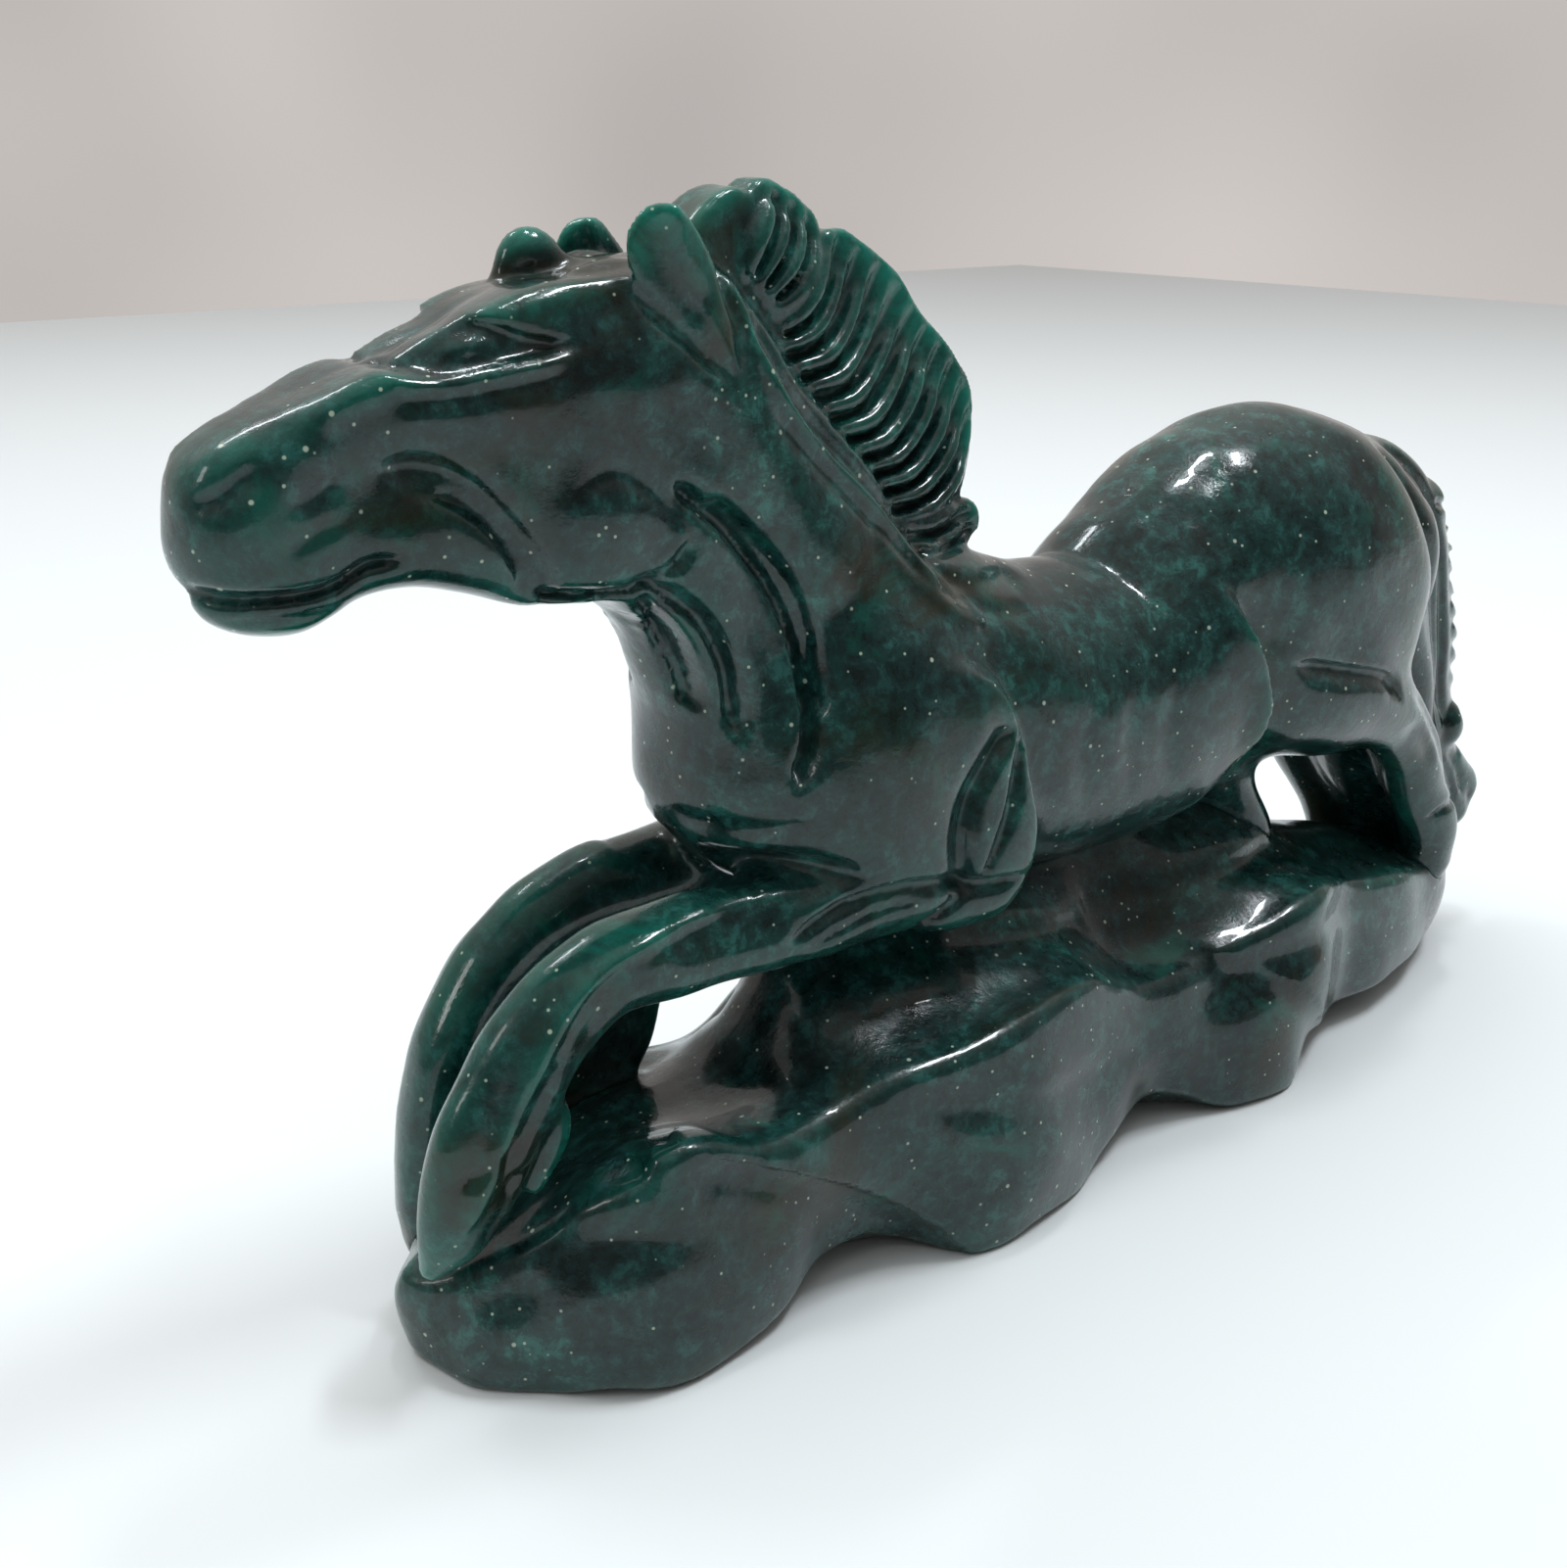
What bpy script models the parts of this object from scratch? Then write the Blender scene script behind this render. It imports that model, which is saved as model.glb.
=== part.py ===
"""A jade horse at full gallop over a wave of rock, carved from one piece of stone.

Frame: +Z up, the horse runs along the X axis with its head at -X, and its sagittal plane
is Y = 0. The display side is -Y. The origin is at the centre of the flat bottom face.
Stations and centres below are in millimetres, measured from the middle of the carving's
foot, CENTRE_X away from the origin.
"""
import bpy
import bmesh
from mathutils import Vector

MM = 0.001
LEFT = -1
RIGHT = 1

# Driving dimensions, in millimetres.
CENTRE_X = 1.5
CLEARANCE = 0.3
VOXEL = 1.2
HORSE_FACES = 5400
HORSE_POLISH = 5
ROCK_FACES = 2000
ROCK_POLISH = 22

# Limbs and trunk are stations (x, y, z, radius); flatness is width over height.
TRUNK = ((-34, 0, 61, 17.5), (-20, 0, 57.5, 19.3), (-4, 0, 54.5, 19.5), (12, 0, 54.5, 20.2),
         (23, 0, 60.5, 21), (32, 0, 65.5, 21.6), (42, 0, 67.3, 21), (52, 0, 65, 20.3),
         (60, 0, 64, 17.5))
TRUNK_FLATNESS = 0.84
NECK = ((-31, 0, 66, 16.5), (-39, 0, 80, 15), (-46.5, 0, 91, 13), (-53, 0, 99, 10.5))
NECK_FLATNESS = 0.74
HEAD = ((-54, 0, 97, 12), (-61, 0, 94.5, 15), (-70, 0, 94.5, 14.2), (-79, 0, 94, 11.8),
        (-86, 0, 92, 9.8), (-93, 0, 91, 8.8))
HEAD_FLATNESS = 0.62
TAIL = ((64, 0, 74, 7.5), (73, 0, 70, 8.5), (79, 0, 60, 8.5), (83.5, 0, 47, 8),
        (88.5, 0, 35, 6.5), (95, 0, 25, 5.5), (99.5, 0, 20, 4.6))
TAIL_FLATNESS = 0.62

LEFT_FORELEG = ((-22, 10, 47, 10), (-42, 9.5, 43.5, 6.5), (-60, 8.5, 43, 5.6),
                (-74, 8, 40.5, 5.4), (-80, 7.5, 30, 4.8), (-84, 7, 21, 4.6), (-85, 6.5, 17, 4.2))
RIGHT_FORELEG = ((-22, 10, 47, 10), (-42, 9.5, 43.5, 6.5), (-56, 8.5, 44, 5.6),
                 (-67, 8, 41.5, 5.4), (-75, 8, 29, 4.8), (-78, 7.5, 18, 4.6),
                 (-78.5, 7, 11, 4.2))
HIND_LEG = ((32, 11, 55, 8.5), (48, 12, 49, 7), (62, 12, 45, 5.4), (69, 11.5, 35, 4.6),
            (75, 11, 26, 4.6), (78, 10.5, 20, 4.4))

# Masses are (centre, radii) of ellipsoids.
SHOULDER = ((-33, 8.5, 57), (15, 8.5, 17))
HAUNCH = ((44, 8, 64), (19, 9.5, 20))
CHEEK = ((-62, 4.5, 88), (8, 4.8, 8.5))
BROW = ((-70, 3.5, 103), (9, 3.6, 4.6))
LIPS = ((-94, 0, 85.5), (6.5, 5, 5))
FORELOCK = ((-65, 3, 111), (3, 2.6, 3.4))
EAR = ((-53, 6.8, 108), (3.4, 2.4, 8))
EAR_LEAN = -0.42

# The mane is a flat fin on the crest, seen from the side.
MANE_OUTLINE = ((-50, 104), (-50, 113.5), (-41, 117), (-35, 115), (-33.5, 111.5), (-28, 111.5),
                (-21, 105), (-14, 96.5), (-11.5, 88), (-13.5, 82), (-11, 79), (-14, 73),
                (-28, 78), (-40, 92))
MANE_THICKNESS = 9

# The rock: a spine along the middle, a crest under the belly, and lobes along each side.
ROCK_SPINE = ((-76, 0, 10, 9), (-62, 0, 9, 13.5), (-20, 0, 8, 16), (25, 0, 8, 16),
              (58, 0, 9, 14), (80, 0, 9.5, 11), (92, 0, 9.5, 8))
ROCK_SPINE_FLATNESS = 1.12
ROCK_CREST = ((-46, 0, 22, 5), (-39, 0, 27.5, 6), (-20, 0, 30, 6), (15, 0, 30, 6),
              (36, 0, 26, 5.5), (50, 0, 20, 5), (78, 0, 15, 5))
ROCK_CREST_FLATNESS = 1.1
ROCK_LOBES = {
    LEFT: (((-61, 8.5, 8), (24, 14.3, 17.5)), ((-20, 9.5, 8), (26, 15.8, 18.5)),
           ((26, 9.5, 8), (24, 15.8, 18)), ((61, 6, 9), (20, 13, 15.5))),
    RIGHT: (((-60, 6, 7), (19, 13, 14)), ((-12, 9, 8), (25, 15.8, 17)),
            ((31, 9, 8), (21, 15, 15)), ((62, 5, 9), (18, 13, 12.5))),
}
ROCK_TOE = ((-77.5, -1.5, 9.5), (9, 10, 12.5))
ROCK_SOLE_DROP = 30

JADE_COLOUR = (0.010, 0.045, 0.034, 1)
ROCK_COLOUR = (0.014, 0.052, 0.042, 1)
POLISH_ROUGHNESS = 0.14


def clear_scene():
    for leftover in list(bpy.data.objects):
        bpy.data.objects.remove(leftover, do_unlink=True)


def new_collection(name):
    collection = bpy.data.collections.new(name)
    bpy.context.scene.collection.children.link(collection)
    return collection


def polished_stone(name, colour):
    material = bpy.data.materials.new(name)
    material.use_nodes = True
    shader = material.node_tree.nodes["Principled BSDF"]
    shader.inputs["Base Color"].default_value = colour
    shader.inputs["Roughness"].default_value = POLISH_ROUGHNESS
    shader.inputs["Metallic"].default_value = 0
    return material


def evaluated_mesh(obj):
    graph = bpy.context.evaluated_depsgraph_get()
    return bpy.data.meshes.new_from_object(obj.evaluated_get(graph))


def take_bmesh(obj):
    """Return the object's evaluated mesh, welded and in world space, and remove the object."""
    mesh = evaluated_mesh(obj)
    form = bmesh.new()
    form.from_mesh(mesh)
    form.transform(obj.matrix_world)
    bmesh.ops.remove_doubles(form, verts=form.verts, dist=0.01 * MM)
    bpy.data.meshes.remove(mesh)
    bpy.data.objects.remove(obj, do_unlink=True)
    return form


def widen(form, middle_y, flatness):
    for vertex in form.verts:
        vertex.co.y = middle_y + (vertex.co.y - middle_y) * flatness


def ellipsoid(centre, radii, lean=0.0):
    bpy.ops.mesh.primitive_uv_sphere_add(segments=24, ring_count=14, radius=MM)
    ball = bpy.context.object
    ball.scale = radii
    ball.rotation_euler = (0, lean, 0)
    ball.location = Vector(centre) * MM
    bpy.context.view_layer.update()
    return take_bmesh(ball)


def limb(stations, flatness=1.0):
    """A tapered round limb through its stations, with ball ends, flattened about its middle."""
    curve = bpy.data.curves.new("limb", "CURVE")
    curve.dimensions = "3D"
    curve.bevel_depth = MM
    curve.bevel_resolution = 4
    curve.resolution_u = 6
    curve.use_fill_caps = True
    spline = curve.splines.new("BEZIER")
    spline.bezier_points.add(len(stations) - 1)
    for point, (x, y, z, radius) in zip(spline.bezier_points, stations):
        point.co = Vector((x, y, z)) * MM
        point.radius = radius
        point.handle_left_type = "AUTO"
        point.handle_right_type = "AUTO"
    path = bpy.data.objects.new("limb", curve)
    bpy.context.scene.collection.objects.link(path)
    bpy.context.view_layer.update()
    form = take_bmesh(path)
    for x, y, z, radius in (stations[0], stations[-1]):
        end = ellipsoid((x, y, z), (radius,) * 3)
        absorb(form, end)
    widen(form, stations[0][1] * MM, flatness)
    return form


def fin(outline, thickness):
    """A flat plate that stands on the sagittal plane."""
    curve = bpy.data.curves.new("fin", "CURVE")
    curve.dimensions = "2D"
    curve.fill_mode = "BOTH"
    curve.extrude = thickness / 2 * MM
    spline = curve.splines.new("POLY")
    spline.points.add(len(outline) - 1)
    for point, (x, z) in zip(spline.points, outline):
        point.co = (x * MM, z * MM, 0, 1)
    spline.use_cyclic_u = True
    plate = bpy.data.objects.new("fin", curve)
    plate.rotation_euler = (1.5707963, 0, 0)
    bpy.context.scene.collection.objects.link(plate)
    bpy.context.view_layer.update()
    return take_bmesh(plate)


def absorb(form, other):
    """Add the faces of other to form, and free other."""
    copies = {vertex: form.verts.new(vertex.co) for vertex in other.verts}
    for face in other.faces:
        form.faces.new([copies[vertex] for vertex in face.verts])
    other.free()


def mirrored(centre, side):
    x, y, z = centre
    return (x, y * side, z)


def on_side(stations, side):
    return tuple((x, y * side, z, radius) for x, y, z, radius in stations)


def fuse(name, forms, faces, polish, collection):
    """Melt overlapping forms into one smooth closed skin of about the given face count."""
    whole = bmesh.new()
    for form in forms:
        absorb(whole, form)
    mesh = bpy.data.meshes.new(name)
    whole.to_mesh(mesh)
    whole.free()
    obj = bpy.data.objects.new(name, mesh)
    collection.objects.link(obj)
    remesh = obj.modifiers.new("melt", "REMESH")
    remesh.mode = "VOXEL"
    remesh.voxel_size = VOXEL * MM
    smooth = obj.modifiers.new("polish", "SMOOTH")
    smooth.iterations = polish
    thin = obj.modifiers.new("thin", "DECIMATE")
    full = evaluated_mesh(obj)
    triangles = sum(len(face.vertices) - 2 for face in full.polygons)
    bpy.data.meshes.remove(full)
    thin.ratio = faces / triangles
    thin.use_collapse_triangulate = True
    obj.data = evaluated_mesh(obj)
    obj.data.name = name
    obj.modifiers.clear()
    return obj


def keep_largest_body(obj):
    form = bmesh.new()
    form.from_mesh(obj.data)
    left = set(form.verts)
    bodies = []
    while left:
        body = set()
        front = [left.pop()]
        while front:
            vertex = front.pop()
            body.add(vertex)
            near = [edge.other_vert(vertex) for edge in vertex.link_edges]
            front.extend(other for other in near if other in left)
            left.difference_update(near)
        bodies.append(body)
    bodies.sort(key=len)
    crumbs = [vertex for body in bodies[:-1] for vertex in body]
    bmesh.ops.delete(form, geom=crumbs, context="VERTS")
    form.to_mesh(obj.data)
    form.free()


def cut(obj, cutter):
    boolean = obj.modifiers.new("cut", "BOOLEAN")
    boolean.operation = "DIFFERENCE"
    boolean.solver = "EXACT"
    boolean.object = cutter
    bpy.context.view_layer.update()
    obj.data = evaluated_mesh(obj)
    obj.modifiers.clear()
    keep_largest_body(obj)


def ground_cutter(collection):
    """Everything below the flat sole of the rock."""
    bpy.ops.mesh.primitive_cube_add(size=1)
    block = bpy.context.object
    block.name = "ground_cutter"
    block.scale = (0.3, 0.1, ROCK_SOLE_DROP * MM)
    block.location = (0, 0, -ROCK_SOLE_DROP / 2 * MM)
    return as_cutter(block, collection)


def clearance_cutter(rock, collection):
    """The rock, grown by the gap that the horse keeps from it."""
    mesh = rock.data.copy()
    grown = bpy.data.objects.new("clearance_cutter", mesh)
    grown.matrix_world = rock.matrix_world
    bpy.context.scene.collection.objects.link(grown)
    form = bmesh.new()
    form.from_mesh(mesh)
    form.normal_update()
    offsets = [(vertex, vertex.normal * CLEARANCE * MM) for vertex in form.verts]
    for vertex, offset in offsets:
        vertex.co += offset
    form.to_mesh(mesh)
    form.free()
    return as_cutter(grown, collection)


def as_cutter(obj, collection):
    for owner in list(obj.users_collection):
        owner.objects.unlink(obj)
    collection.objects.link(obj)
    obj.hide_render = True
    obj.display_type = "WIRE"
    bpy.context.view_layer.update()
    return obj


def build_rock(collection, cutters):
    forms = [limb(ROCK_SPINE, ROCK_SPINE_FLATNESS), limb(ROCK_CREST, ROCK_CREST_FLATNESS),
             ellipsoid(*ROCK_TOE)]
    for side, lobes in ROCK_LOBES.items():
        forms.extend(ellipsoid(mirrored(centre, side), radii) for centre, radii in lobes)
    rock = fuse("rock_base", forms, ROCK_FACES, ROCK_POLISH, collection)
    cut(rock, ground_cutter(cutters))
    return rock


def build_horse(collection):
    forms = [limb(TRUNK, TRUNK_FLATNESS), limb(NECK, NECK_FLATNESS), limb(HEAD, HEAD_FLATNESS),
             limb(TAIL, TAIL_FLATNESS), fin(MANE_OUTLINE, MANE_THICKNESS), ellipsoid(*LIPS),
             ellipsoid(*FORELOCK), limb(on_side(LEFT_FORELEG, LEFT)),
             limb(on_side(RIGHT_FORELEG, RIGHT))]
    for side in (LEFT, RIGHT):
        forms.append(limb(on_side(HIND_LEG, side)))
        for centre, radii in (SHOULDER, HAUNCH, CHEEK, BROW):
            forms.append(ellipsoid(mirrored(centre, side), radii))
        forms.append(ellipsoid(mirrored(EAR[0], side), EAR[1], EAR_LEAN))
    return fuse("horse", forms, HORSE_FACES, HORSE_POLISH, collection)


def finish(obj, material):
    """Move the piece to the origin's frame, give it its stone, and shade it smooth."""
    for vertex in obj.data.vertices:
        vertex.co.x -= CENTRE_X * MM
    obj.data.materials.clear()
    obj.data.materials.append(material)
    obj.data.shade_smooth()
    obj.data.set_sharp_from_angle(angle=0.9)


def main():
    clear_scene()
    carving = new_collection("jade_horse")
    cutters = new_collection("cutters")
    rock = build_rock(carving, cutters)
    horse = build_horse(carving)
    cut(horse, clearance_cutter(rock, cutters))
    finish(horse, polished_stone("dark_jade", JADE_COLOUR))
    finish(rock, polished_stone("rock_jade", ROCK_COLOUR))


main()
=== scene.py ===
"""A polished jade carving of a galloping horse on an undulating rock.

The stone is sculpted as a field of signed distances: limbs, reliefs and grooves are worked
into one block of clay, the way a carver rounds a block, and its skin is taken off as two
meshes that meet in the crease between horse and rock.

Carver's frame, in millimetres: the horse runs along X with its head at -X, its sagittal plane
is Y = 0, the display side is -Y, Z is up from the table. It lies CENTRE_X from the row's frame.
"""
import math
import bpy
import numpy as np
import openvdb
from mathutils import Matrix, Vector


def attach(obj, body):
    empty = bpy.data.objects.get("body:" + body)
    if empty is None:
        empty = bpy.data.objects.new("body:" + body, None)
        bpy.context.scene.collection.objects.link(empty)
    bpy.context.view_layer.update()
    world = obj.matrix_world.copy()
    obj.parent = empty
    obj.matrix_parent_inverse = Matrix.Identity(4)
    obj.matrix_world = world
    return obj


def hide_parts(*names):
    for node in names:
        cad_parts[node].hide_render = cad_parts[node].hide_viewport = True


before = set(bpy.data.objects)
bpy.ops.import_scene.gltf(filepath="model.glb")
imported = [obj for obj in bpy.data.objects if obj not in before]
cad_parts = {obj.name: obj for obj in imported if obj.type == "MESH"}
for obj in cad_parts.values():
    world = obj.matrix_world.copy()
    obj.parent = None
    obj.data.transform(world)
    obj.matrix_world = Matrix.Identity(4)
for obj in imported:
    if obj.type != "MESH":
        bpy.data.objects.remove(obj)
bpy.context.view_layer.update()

MM = 0.001
CENTRE_X = 1.5
GRAIN = 0.5
BLOCK_LOW = (-106.0, -29.0, -3.0)
BLOCK_HIGH = (110.0, 29.0, 121.0)
EMPTY = 30.0
MARGIN = 2.5
# how far the two skins overlap at the parting, and how strongly the skin is eased
OVERLAP = 0.05
SOFTENING = 0.48
SOLE_HEIGHT = 0.02
LEFT = -1
RIGHT = 1
BOTH = (LEFT, RIGHT)


# ---------------------------------------------------------------- curves

def smooth_path(points, spans=8, closed=False):
    """A Catmull-Rom curve through points of any dimension, spans pieces to each stretch."""
    pts = np.array(points, float)
    if closed:
        pts = np.concatenate([pts[-1:], pts, pts[:2]])
    else:
        pts = np.concatenate([2 * pts[:1] - pts[1:2], pts, 2 * pts[-1:] - pts[-2:-1]])
    t = np.linspace(0, 1, spans, endpoint=False)[:, None]
    pieces = []
    for a, b, c, d in zip(pts[:-3], pts[1:-2], pts[2:-1], pts[3:]):
        pieces.append(0.5 * (2 * b + (c - a) * t + (2 * a - 5 * b + 4 * c - d) * t ** 2
                             + (3 * b - a - 3 * c + d) * t ** 3))
    if not closed:
        pieces.append(pts[-2][None])
    return np.concatenate(pieces)


def along(x, knots):
    """Smoothly interpolated value at x through (x, value) knots."""
    path = smooth_path(knots, 12)
    return np.interp(x, path[:, 0], path[:, 1]).astype(np.float32)


def arc_positions(path):
    steps = np.linalg.norm(np.diff(path, axis=0), axis=1)
    return np.concatenate([[0], np.cumsum(steps)])


def line_distance(u, v, path):
    """Signed distance from the plane points (u, v) to an open line, and how far along it.

    The sign is positive on the line's left as it runs with u to the right and v upward."""
    best = np.full(np.broadcast(u, v).shape, 1e9, np.float32)
    side = np.zeros_like(best)
    share = np.zeros_like(best)
    arc = arc_positions(path)
    for i, (a, b) in enumerate(zip(path[:-1], path[1:])):
        du, dv = b - a
        length2 = max(du * du + dv * dv, 1e-9)
        t = np.clip(((u - a[0]) * du + (v - a[1]) * dv) / length2, 0, 1)
        eu = u - a[0] - t * du
        ev = v - a[1] - t * dv
        d2 = eu * eu + ev * ev
        near = d2 < best
        best = np.where(near, d2, best)
        side = np.where(near, np.sign(du * ev - dv * eu), side)
        share = np.where(near, (arc[i] + t * (arc[i + 1] - arc[i])) / arc[-1], share)
    return np.sqrt(best) * side, share


def outline_distance(u, v, path):
    """Signed distance from the plane points (u, v) to a closed outline, negative inside."""
    best = np.full(np.broadcast(u, v).shape, 1e9, np.float32)
    inside = np.zeros(best.shape, bool)
    for a, b in zip(path, np.roll(path, -1, axis=0)):
        du, dv = b - a
        length2 = max(du * du + dv * dv, 1e-9)
        t = np.clip(((u - a[0]) * du + (v - a[1]) * dv) / length2, 0, 1)
        best = np.minimum(best, (u - a[0] - t * du) ** 2 + (v - a[1] - t * dv) ** 2)
        if dv:
            crossing = a[0] + (v - a[1]) * du / dv
            between = (v >= min(a[1], b[1])) & (v < max(a[1], b[1]))
            inside ^= between & (u < crossing)
    return np.where(inside, -1, 1) * np.sqrt(best)


def smooth_step(value, low, high):
    t = np.clip((value - low) / (high - low), 0, 1)
    return t * t * (3 - 2 * t)


def mound(u, v, centre_u, centre_v, radius_u, radius_v):
    return np.exp(-((u - centre_u) / radius_u) ** 2 - ((v - centre_v) / radius_v) ** 2)


# ---------------------------------------------------------------- clay

def smooth_min(a, b, blend):
    h = np.maximum(blend - np.abs(a - b), 0) / blend
    return np.minimum(a, b) - h * h * blend / 4


def smooth_max(a, b, blend):
    return -smooth_min(-a, -b, blend)


class Clay:
    """A block of signed distances in millimetres, negative where there is stone."""

    def __init__(self, low, high, step):
        self.step = step
        self.axes = [np.arange(a, b + step, step, dtype=np.float32) for a, b in zip(low, high)]
        self.d = np.full([len(axis) for axis in self.axes], EMPTY, np.float32)

    def window(self, low, high):
        cut = []
        for axis, a, b in zip(self.axes, low, high):
            first = max(int((a - axis[0]) / self.step), 0)
            last = min(int((b - axis[0]) / self.step) + 2, len(axis))
            cut.append(slice(first, max(last, first)))
        x = self.axes[0][cut[0]][:, None, None]
        y = self.axes[1][cut[1]][None, :, None]
        z = self.axes[2][cut[2]][None, None, :]
        return tuple(cut), x, y, z

    def add(self, cut, d, blend):
        self.d[cut] = smooth_min(self.d[cut], d, blend)

    def take(self, cut, d, blend):
        self.d[cut] = smooth_max(self.d[cut], -d, blend)

    def even(self):
        """Make distances true again near the skin, after shapes were stretched sideways."""
        slope = np.zeros_like(self.d)
        for axis in range(3):
            slope += np.gradient(self.d, self.step, axis=axis) ** 2
        near = np.abs(self.d) < EMPTY / 2
        self.d = np.where(near, self.d / np.clip(np.sqrt(slope), 0.35, 3), self.d)

    def ball(self, centre, radii, blend, lean=0.0, tool="add"):
        """An ellipsoid; lean turns it in the side view, from +X towards +Z."""
        reach = max(radii) + MARGIN + blend
        cut, x, y, z = self.window(np.array(centre) - reach, np.array(centre) + reach)
        px, py, pz = x - centre[0], y - centre[1], z - centre[2]
        c, s = math.cos(lean), math.sin(lean)
        px, pz = c * px + s * pz, c * pz - s * px
        a, b, e = radii
        k0 = np.sqrt((px / a) ** 2 + (py / b) ** 2 + (pz / e) ** 2) + 1e-6
        k1 = np.sqrt((px / a ** 2) ** 2 + (py / b ** 2) ** 2 + (pz / e ** 2) ** 2) + 1e-6
        getattr(self, tool)(cut, k0 * (k0 - 1) / k1, blend)

    def limb(self, stations, blend, spans=8, tool="add"):
        """A tapered limb through stations (x, y, z, radius, half width sideways)."""
        path = smooth_path(stations, spans)
        reach = path[:, 3:].max() + MARGIN + blend
        cut, x, y, z = self.window(path[:, :3].min(0) - reach, path[:, :3].max(0) + reach)
        d = np.full((x.shape[0], y.shape[1], z.shape[2]), EMPTY, np.float32)
        for a, b in zip(path[:-1], path[1:]):
            pad = max(a[3], b[3], a[4], b[4]) + MARGIN + blend
            low = np.minimum(a[:3], b[:3]) - pad
            high = np.maximum(a[:3], b[:3]) + pad
            local, lx, ly, lz = self.window(low, high)
            sub = tuple(slice(s.start - w.start, s.stop - w.start) for s, w in zip(local, cut))
            d[sub] = np.minimum(d[sub], cone(a, b, lx, ly, lz))
        getattr(self, tool)(cut, d, blend)

    def relief(self, outline, half_width, rounding, blend, middle=0.0, high=15.0, tool="add"):
        """A slab seen from the side: its outline in (x, z), its half width as a map of (x, z)."""
        low2, high2 = outline.min(0), outline.max(0)
        reach = MARGIN + blend + 2
        cut, x, y, z = self.window((low2[0] - reach, middle - high, low2[1] - reach),
                                   (high2[0] + reach, middle + high, high2[1] + reach))
        x2, z2 = x[:, 0, :], z[:, 0, :]
        edge = outline_distance(x2, z2, outline).astype(np.float32)
        width = half_width(x2, z2, edge).astype(np.float32)
        round2 = np.broadcast_to(np.float32(rounding(x2, z2)), edge.shape)
        d = smooth_max(edge[:, None, :], np.abs(y - middle) - width[:, None, :],
                       round2[:, None, :])
        getattr(self, tool)(cut, d, blend)

    def press(self, low, high, profile, sides=BOTH, plane=0.0, soft=2.0):
        """Move the skin inward by profile(x, z) millimetres on the chosen sides."""
        cut, x, y, z = self.window((low[0], BLOCK_LOW[1], low[1]),
                                   (high[0], BLOCK_HIGH[1], high[1]))
        depth = profile(x[:, 0, :], z[:, 0, :]).astype(np.float32)
        mask = sum(smooth_step(side * y, plane, plane + soft) for side in sides)
        self.d[cut] += depth[:, None, :] * mask

    def score(self, points, depth, width, sides=BOTH, far_width=None, fade=0.3, plane=0.0,
              spans=8, soft=2.0):
        """A groove along a line in the side view; a negative depth raises a ridge.

        width is the reach of the groove on the line's left, far_width on its right."""
        path = smooth_path(points, spans)
        right = width if far_width is None else far_width
        reach = 3 * max(width, right)

        def profile(x, z):
            s, share = line_distance(x, z, path)
            reach_of_side = np.where(s > 0, width, right)
            ends = smooth_step(share, 0, fade) * smooth_step(1 - share, 0, fade)
            return depth * np.exp(-(s / (reach_of_side * (0.35 + 0.65 * ends))) ** 2) * ends

        self.press(path.min(0) - reach, path.max(0) + reach, profile, sides, plane, soft)

    def strand(self, points, radius, tip, blend, spans=8):
        """A round strand through 3-D points, thin at its root, full in the middle."""
        path = smooth_path(points, spans)
        share = arc_positions(path) / arc_positions(path)[-1]
        girth = radius * (0.55 + 0.45 * np.sin(np.pi * np.clip(share * 1.15, 0, 1)))
        girth = np.minimum(girth, tip + (radius - tip) * (1 - share) * 4)
        stations = np.column_stack([path, girth, girth])
        self.limb(stations[::2], blend, 2)


def cone(a, b, x, y, z):
    """Distance to one tapered stretch of a limb, flattened sideways."""
    ab = b - a
    length2 = max(float(ab[:3] @ ab[:3]), 1e-9)
    px, py, pz = x - a[0], y - a[1], z - a[2]
    t = np.clip((px * ab[0] + py * ab[1] + pz * ab[2]) / length2, 0, 1).astype(np.float32)
    radius = a[3] + t * ab[3]
    squash = radius / (a[4] + t * ab[4])
    ex, ey, ez = px - t * ab[0], (py - t * ab[1]) * squash, pz - t * ab[2]
    return np.sqrt(ex * ex + ey * ey + ez * ez) - radius


def round_limb(points):
    """Stations whose half width equals their radius."""
    return [(*p, p[3]) for p in points]


# ---------------------------------------------------------------- horse: body and neck

TRUNK = ((-33, 0, 60, 16, 13.5), (-20, 0, 57.5, 19.3, 16.2), (-4, 0, 54.8, 18.9, 16.4),
         (13, 0, 54.6, 19.2, 16.9), (24.5, 0, 60.6, 20.2, 17), (34, 0, 65.8, 21.2, 17.4),
         (43, 0, 67.5, 20.8, 17.6), (52, 0, 65, 20.2, 16.6), (60, 0, 64, 17.2, 14))
NECK = ((-31, 0, 65, 17.4, 13), (-39.4, 0, 78.6, 15.4, 11.4), (-46.6, 0, 90, 13.5, 9.8),
        (-53, 0, 99, 11, 8.4))
THROAT = ((-54.5, 0, 82, 5, 8.4), (-50.4, 0, 74.5, 5.8, 9.4), (-47.4, 0, 66, 6.6, 10.4),
          (-46, 0, 57, 7.6, 11.6))
BARREL_BACK_EDGE = ((17.5, 72), (22.7, 63.7), (25.6, 57.1), (26.4, 51.5), (25, 47.5),
                    (21.5, 43.5), (17, 40))


def carve_body(clay):
    clay.limb(TRUNK, 0.5)
    clay.limb(NECK, 7)
    clay.limb(THROAT, 3.5)
    for side in BOTH:
        clay.ball((-31, side * 8.5, 56.5), (14.5, 8.7, 16.5), 6)
        clay.ball((46, side * 8, 63.6), (17, 9.6, 20.2), 5)
        clay.ball((50, side * 8, 55), (13.5, 8.4, 13), 6, 0.5)
    clay.ball((-43.6, 0, 56.6), (7.4, 9, 11.5), 5)
    clay.ball((-17, 0, 72.5), (9, 5, 4), 7, -0.3)


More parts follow.
